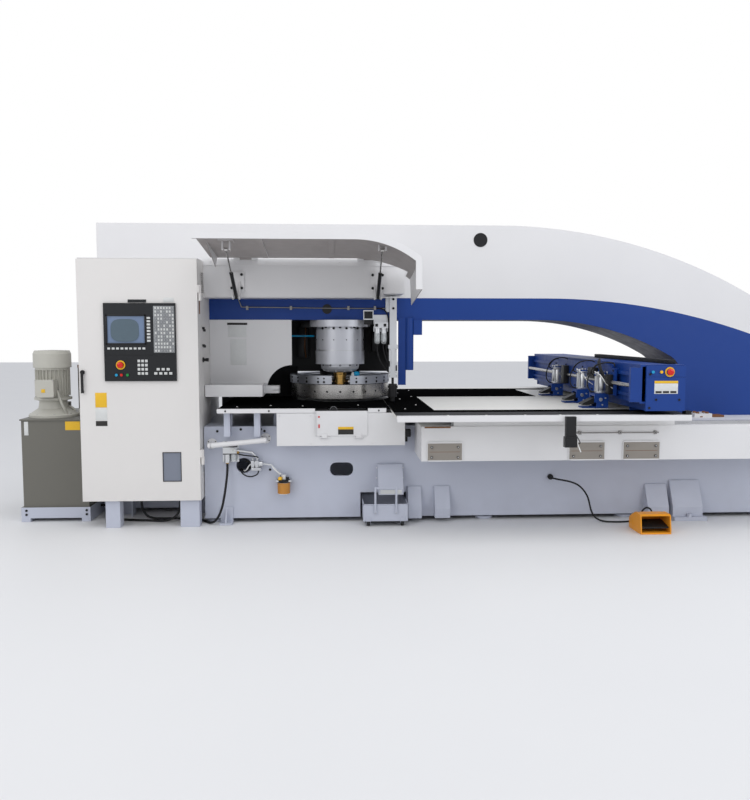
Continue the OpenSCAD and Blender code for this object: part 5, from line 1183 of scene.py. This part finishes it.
piece("clamp_cylinder_skins", "alu", "clamp_carriage", cylinder_skin)
hose_sets = []
for i, y in enumerate(CLAMPS):
    hose_sets.append([(1691, y, 1010), (1672, y - 6, 1022), (1664, y - 40, 1050), (1690, y - 96, 1086),
                      (1744, y - 120, 1098), (1780, y - 126, 1090), (1782, y - 128, 1072)])
    hose_sets.append([(1702, y + 20, 896), (1680, y + 34, 900), (1668, y + 66, 940), (1690, y + 100, 1010),
                      (1740, y + 118, 1070), (1780, y + 120, 1082), (1784, y + 120, 1070)])
pipe("clamp_air_lines", "rubber", "clamp_carriage", hose_sets, 9)
pipe("clamp_white_lines", "tie", "clamp_carriage",
     [[(1700, y - 22, 1008), (1684, y - 60, 1030), (1700, y - 110, 1010), (1730, y - 130, 960),
       (1770, y - 140, 930)] for y in CLAMPS[:2]], 6)
loop = []
for k in range(3):
    loop.append([(1782, -640 + k * 14, 1086), (1760, -700 + k * 12, 1112 - k * 6),
                 (1730, -790 + k * 10, 1100 - k * 10), (1716, -870, 1050 - k * 14),
                 (1730, -920 - k * 6, 990 - k * 10), (1768, -940, 960 - k * 8),
                 (1792, -935 + k * 6, 940)])
pipe("carriage_hose_bundle", "rubber", "clamp_carriage", loop, 13)


def valve_bank(bm):
    for k in range(5):
        add_box(bm, (1738, -640 + k * 26, 990), (1772, -618 + k * 26, 1052), 2)
    add_box(bm, (1748, -650, 976), (1772, -505, 990), 2)
    add_box(bm, (1730, 40, 900), (1772, 110, 1040), 3)
    add_box(bm, (1740, -940, 890), (1772, -880, 1020), 3)


piece("carriage_valve_bank", "black", "clamp_carriage", valve_bank)


def clamp_steel(bm):
    for y in CLAMPS:
        for s in (-1, 1):
            add_rod(bm, (1720, y + s * 57, 850), (0, s, 0), 24, 5)
        add_box(bm, (1604, y - 40, 803.6 - 9), (1650, y + 40, 802.2), 0.8)
        add_socket_bolt(bm, (1732, y - 57, 815), FRONT, 11, 4)
        add_socket_bolt(bm, (1752, y - 57, 860), FRONT, 11, 4)


piece("clamp_hardware", "silver", "clamp_carriage", clamp_steel)
bolts("carriage_plate_screws",
      [(1771.5, y, z) for y in (-940, -700, -520, -300, -120, 120, 400) for z in (900, 1045)],
      LEFT, 14, 5, body="clamp_carriage")
boxes("carriage_plate_label", "label_dark", "clamp_carriage",
      [((1770, -230, 960), (1773, -140, 1010))], 0.5)


# Foot switch

bolts("foot_switch_screws", [(x, -1010, 125) for x in (1940, 2094)], UP, 9, 2.5,
      material="steel")
boxes("foot_switch_bare_label", "label_yellow", "machine",
      [((2116, -1060, 60), (2118.2, -1020, 84))], 0.4)
boxes("foot_switch_base", "black", "machine", [((1920, -1104, 0), (2114, -902, 4))], 1)


# Slug cart

bolts("cart_handle_screws", [(x, -820, z) for x in (226, 366) for z in (95, 107)], FRONT, 7, 2.5,
      body="scrap_cart", material="steel")
boxes("cart_rim", "pale", "scrap_cart",
      [((143, -811, 146), (447, -804, 152)), ((143, -454, 146), (447, -447, 152)),
       ((143, -811, 146), (150, -447, 152)), ((440, -811, 146), (447, -447, 152))], 1.5)


# Floor, light and world

def stage():
    """The plain pale floor, 60 m across."""
    mesh = bpy.data.meshes.new("floor")
    bm = bmesh.new()
    size = 30
    verts = [bm.verts.new((x * size, y * size, -0.0005)) for x, y in ((-1, -1), (1, -1), (1, 1), (-1, 1))]
    bm.faces.new(verts)
    bm.to_mesh(mesh)
    bm.free()
    obj = bpy.data.objects.new("floor", mesh)
    scene.collection.objects.link(obj)
    n = Nodes("floor_pale")
    mesh.materials.append(finish_material(
        n, n.mix(n.noise(0.8), (0.78, 0.78, 0.78), (0.75, 0.75, 0.755)), 0.6, 0.0,
        n.bump(n.noise(30), 0.03, 0.0005)))


def area_light(name, at, target, size, power, colour=(1, 1, 1)):
    data = bpy.data.lights.new(name, "AREA")
    data.shape = "RECTANGLE"
    data.size, data.size_y = size
    data.energy = power
    data.color = colour
    obj = bpy.data.objects.new(name, data)
    obj.location = at
    obj.rotation_euler = (Vector(target) - Vector(at)).to_track_quat("-Z", "Y").to_euler()
    scene.collection.objects.link(obj)


def light_world():
    """Soft sky for lighting, and plain white where the camera looks past the machine."""
    world = bpy.data.worlds.new("studio")
    world.use_nodes = True
    tree = world.node_tree
    sky = tree.nodes["Background"]
    sky.inputs["Color"].default_value = (0.93, 0.95, 1.0, 1.0)
    sky.inputs["Strength"].default_value = 0.8
    backdrop = tree.nodes.new("ShaderNodeBackground")
    backdrop.inputs["Color"].default_value = (1.0, 1.0, 1.0, 1.0)
    backdrop.inputs["Strength"].default_value = 1.0
    seen = tree.nodes.new("ShaderNodeLightPath")
    choice = tree.nodes.new("ShaderNodeMixShader")
    tree.links.new(seen.outputs["Is Camera Ray"], choice.inputs[0])
    tree.links.new(sky.outputs[0], choice.inputs[1])
    tree.links.new(backdrop.outputs[0], choice.inputs[2])
    tree.links.new(choice.outputs[0], tree.nodes["World Output"].inputs["Surface"])
    scene.world = world


stage()
light_world()
area_light("ceiling", (0.6, -2.6, 5.6), (0.6, 0.0, 0.8), (7.0, 3.4), 112)
area_light("front_left", (-4.6, -6.4, 3.6), (-0.4, 0.0, 1.0), (3.2, 3.2), 72, (1.0, 0.985, 0.96))
area_light("front_right", (5.2, -5.2, 2.8), (1.4, 0.0, 0.9), (3.2, 2.6), 50, (0.95, 0.97, 1.0))
scene.view_settings.view_transform = "Standard"
scene.view_settings.look = "None"
scene.view_settings.exposure = 0.0
scene.view_settings.gamma = 1.0
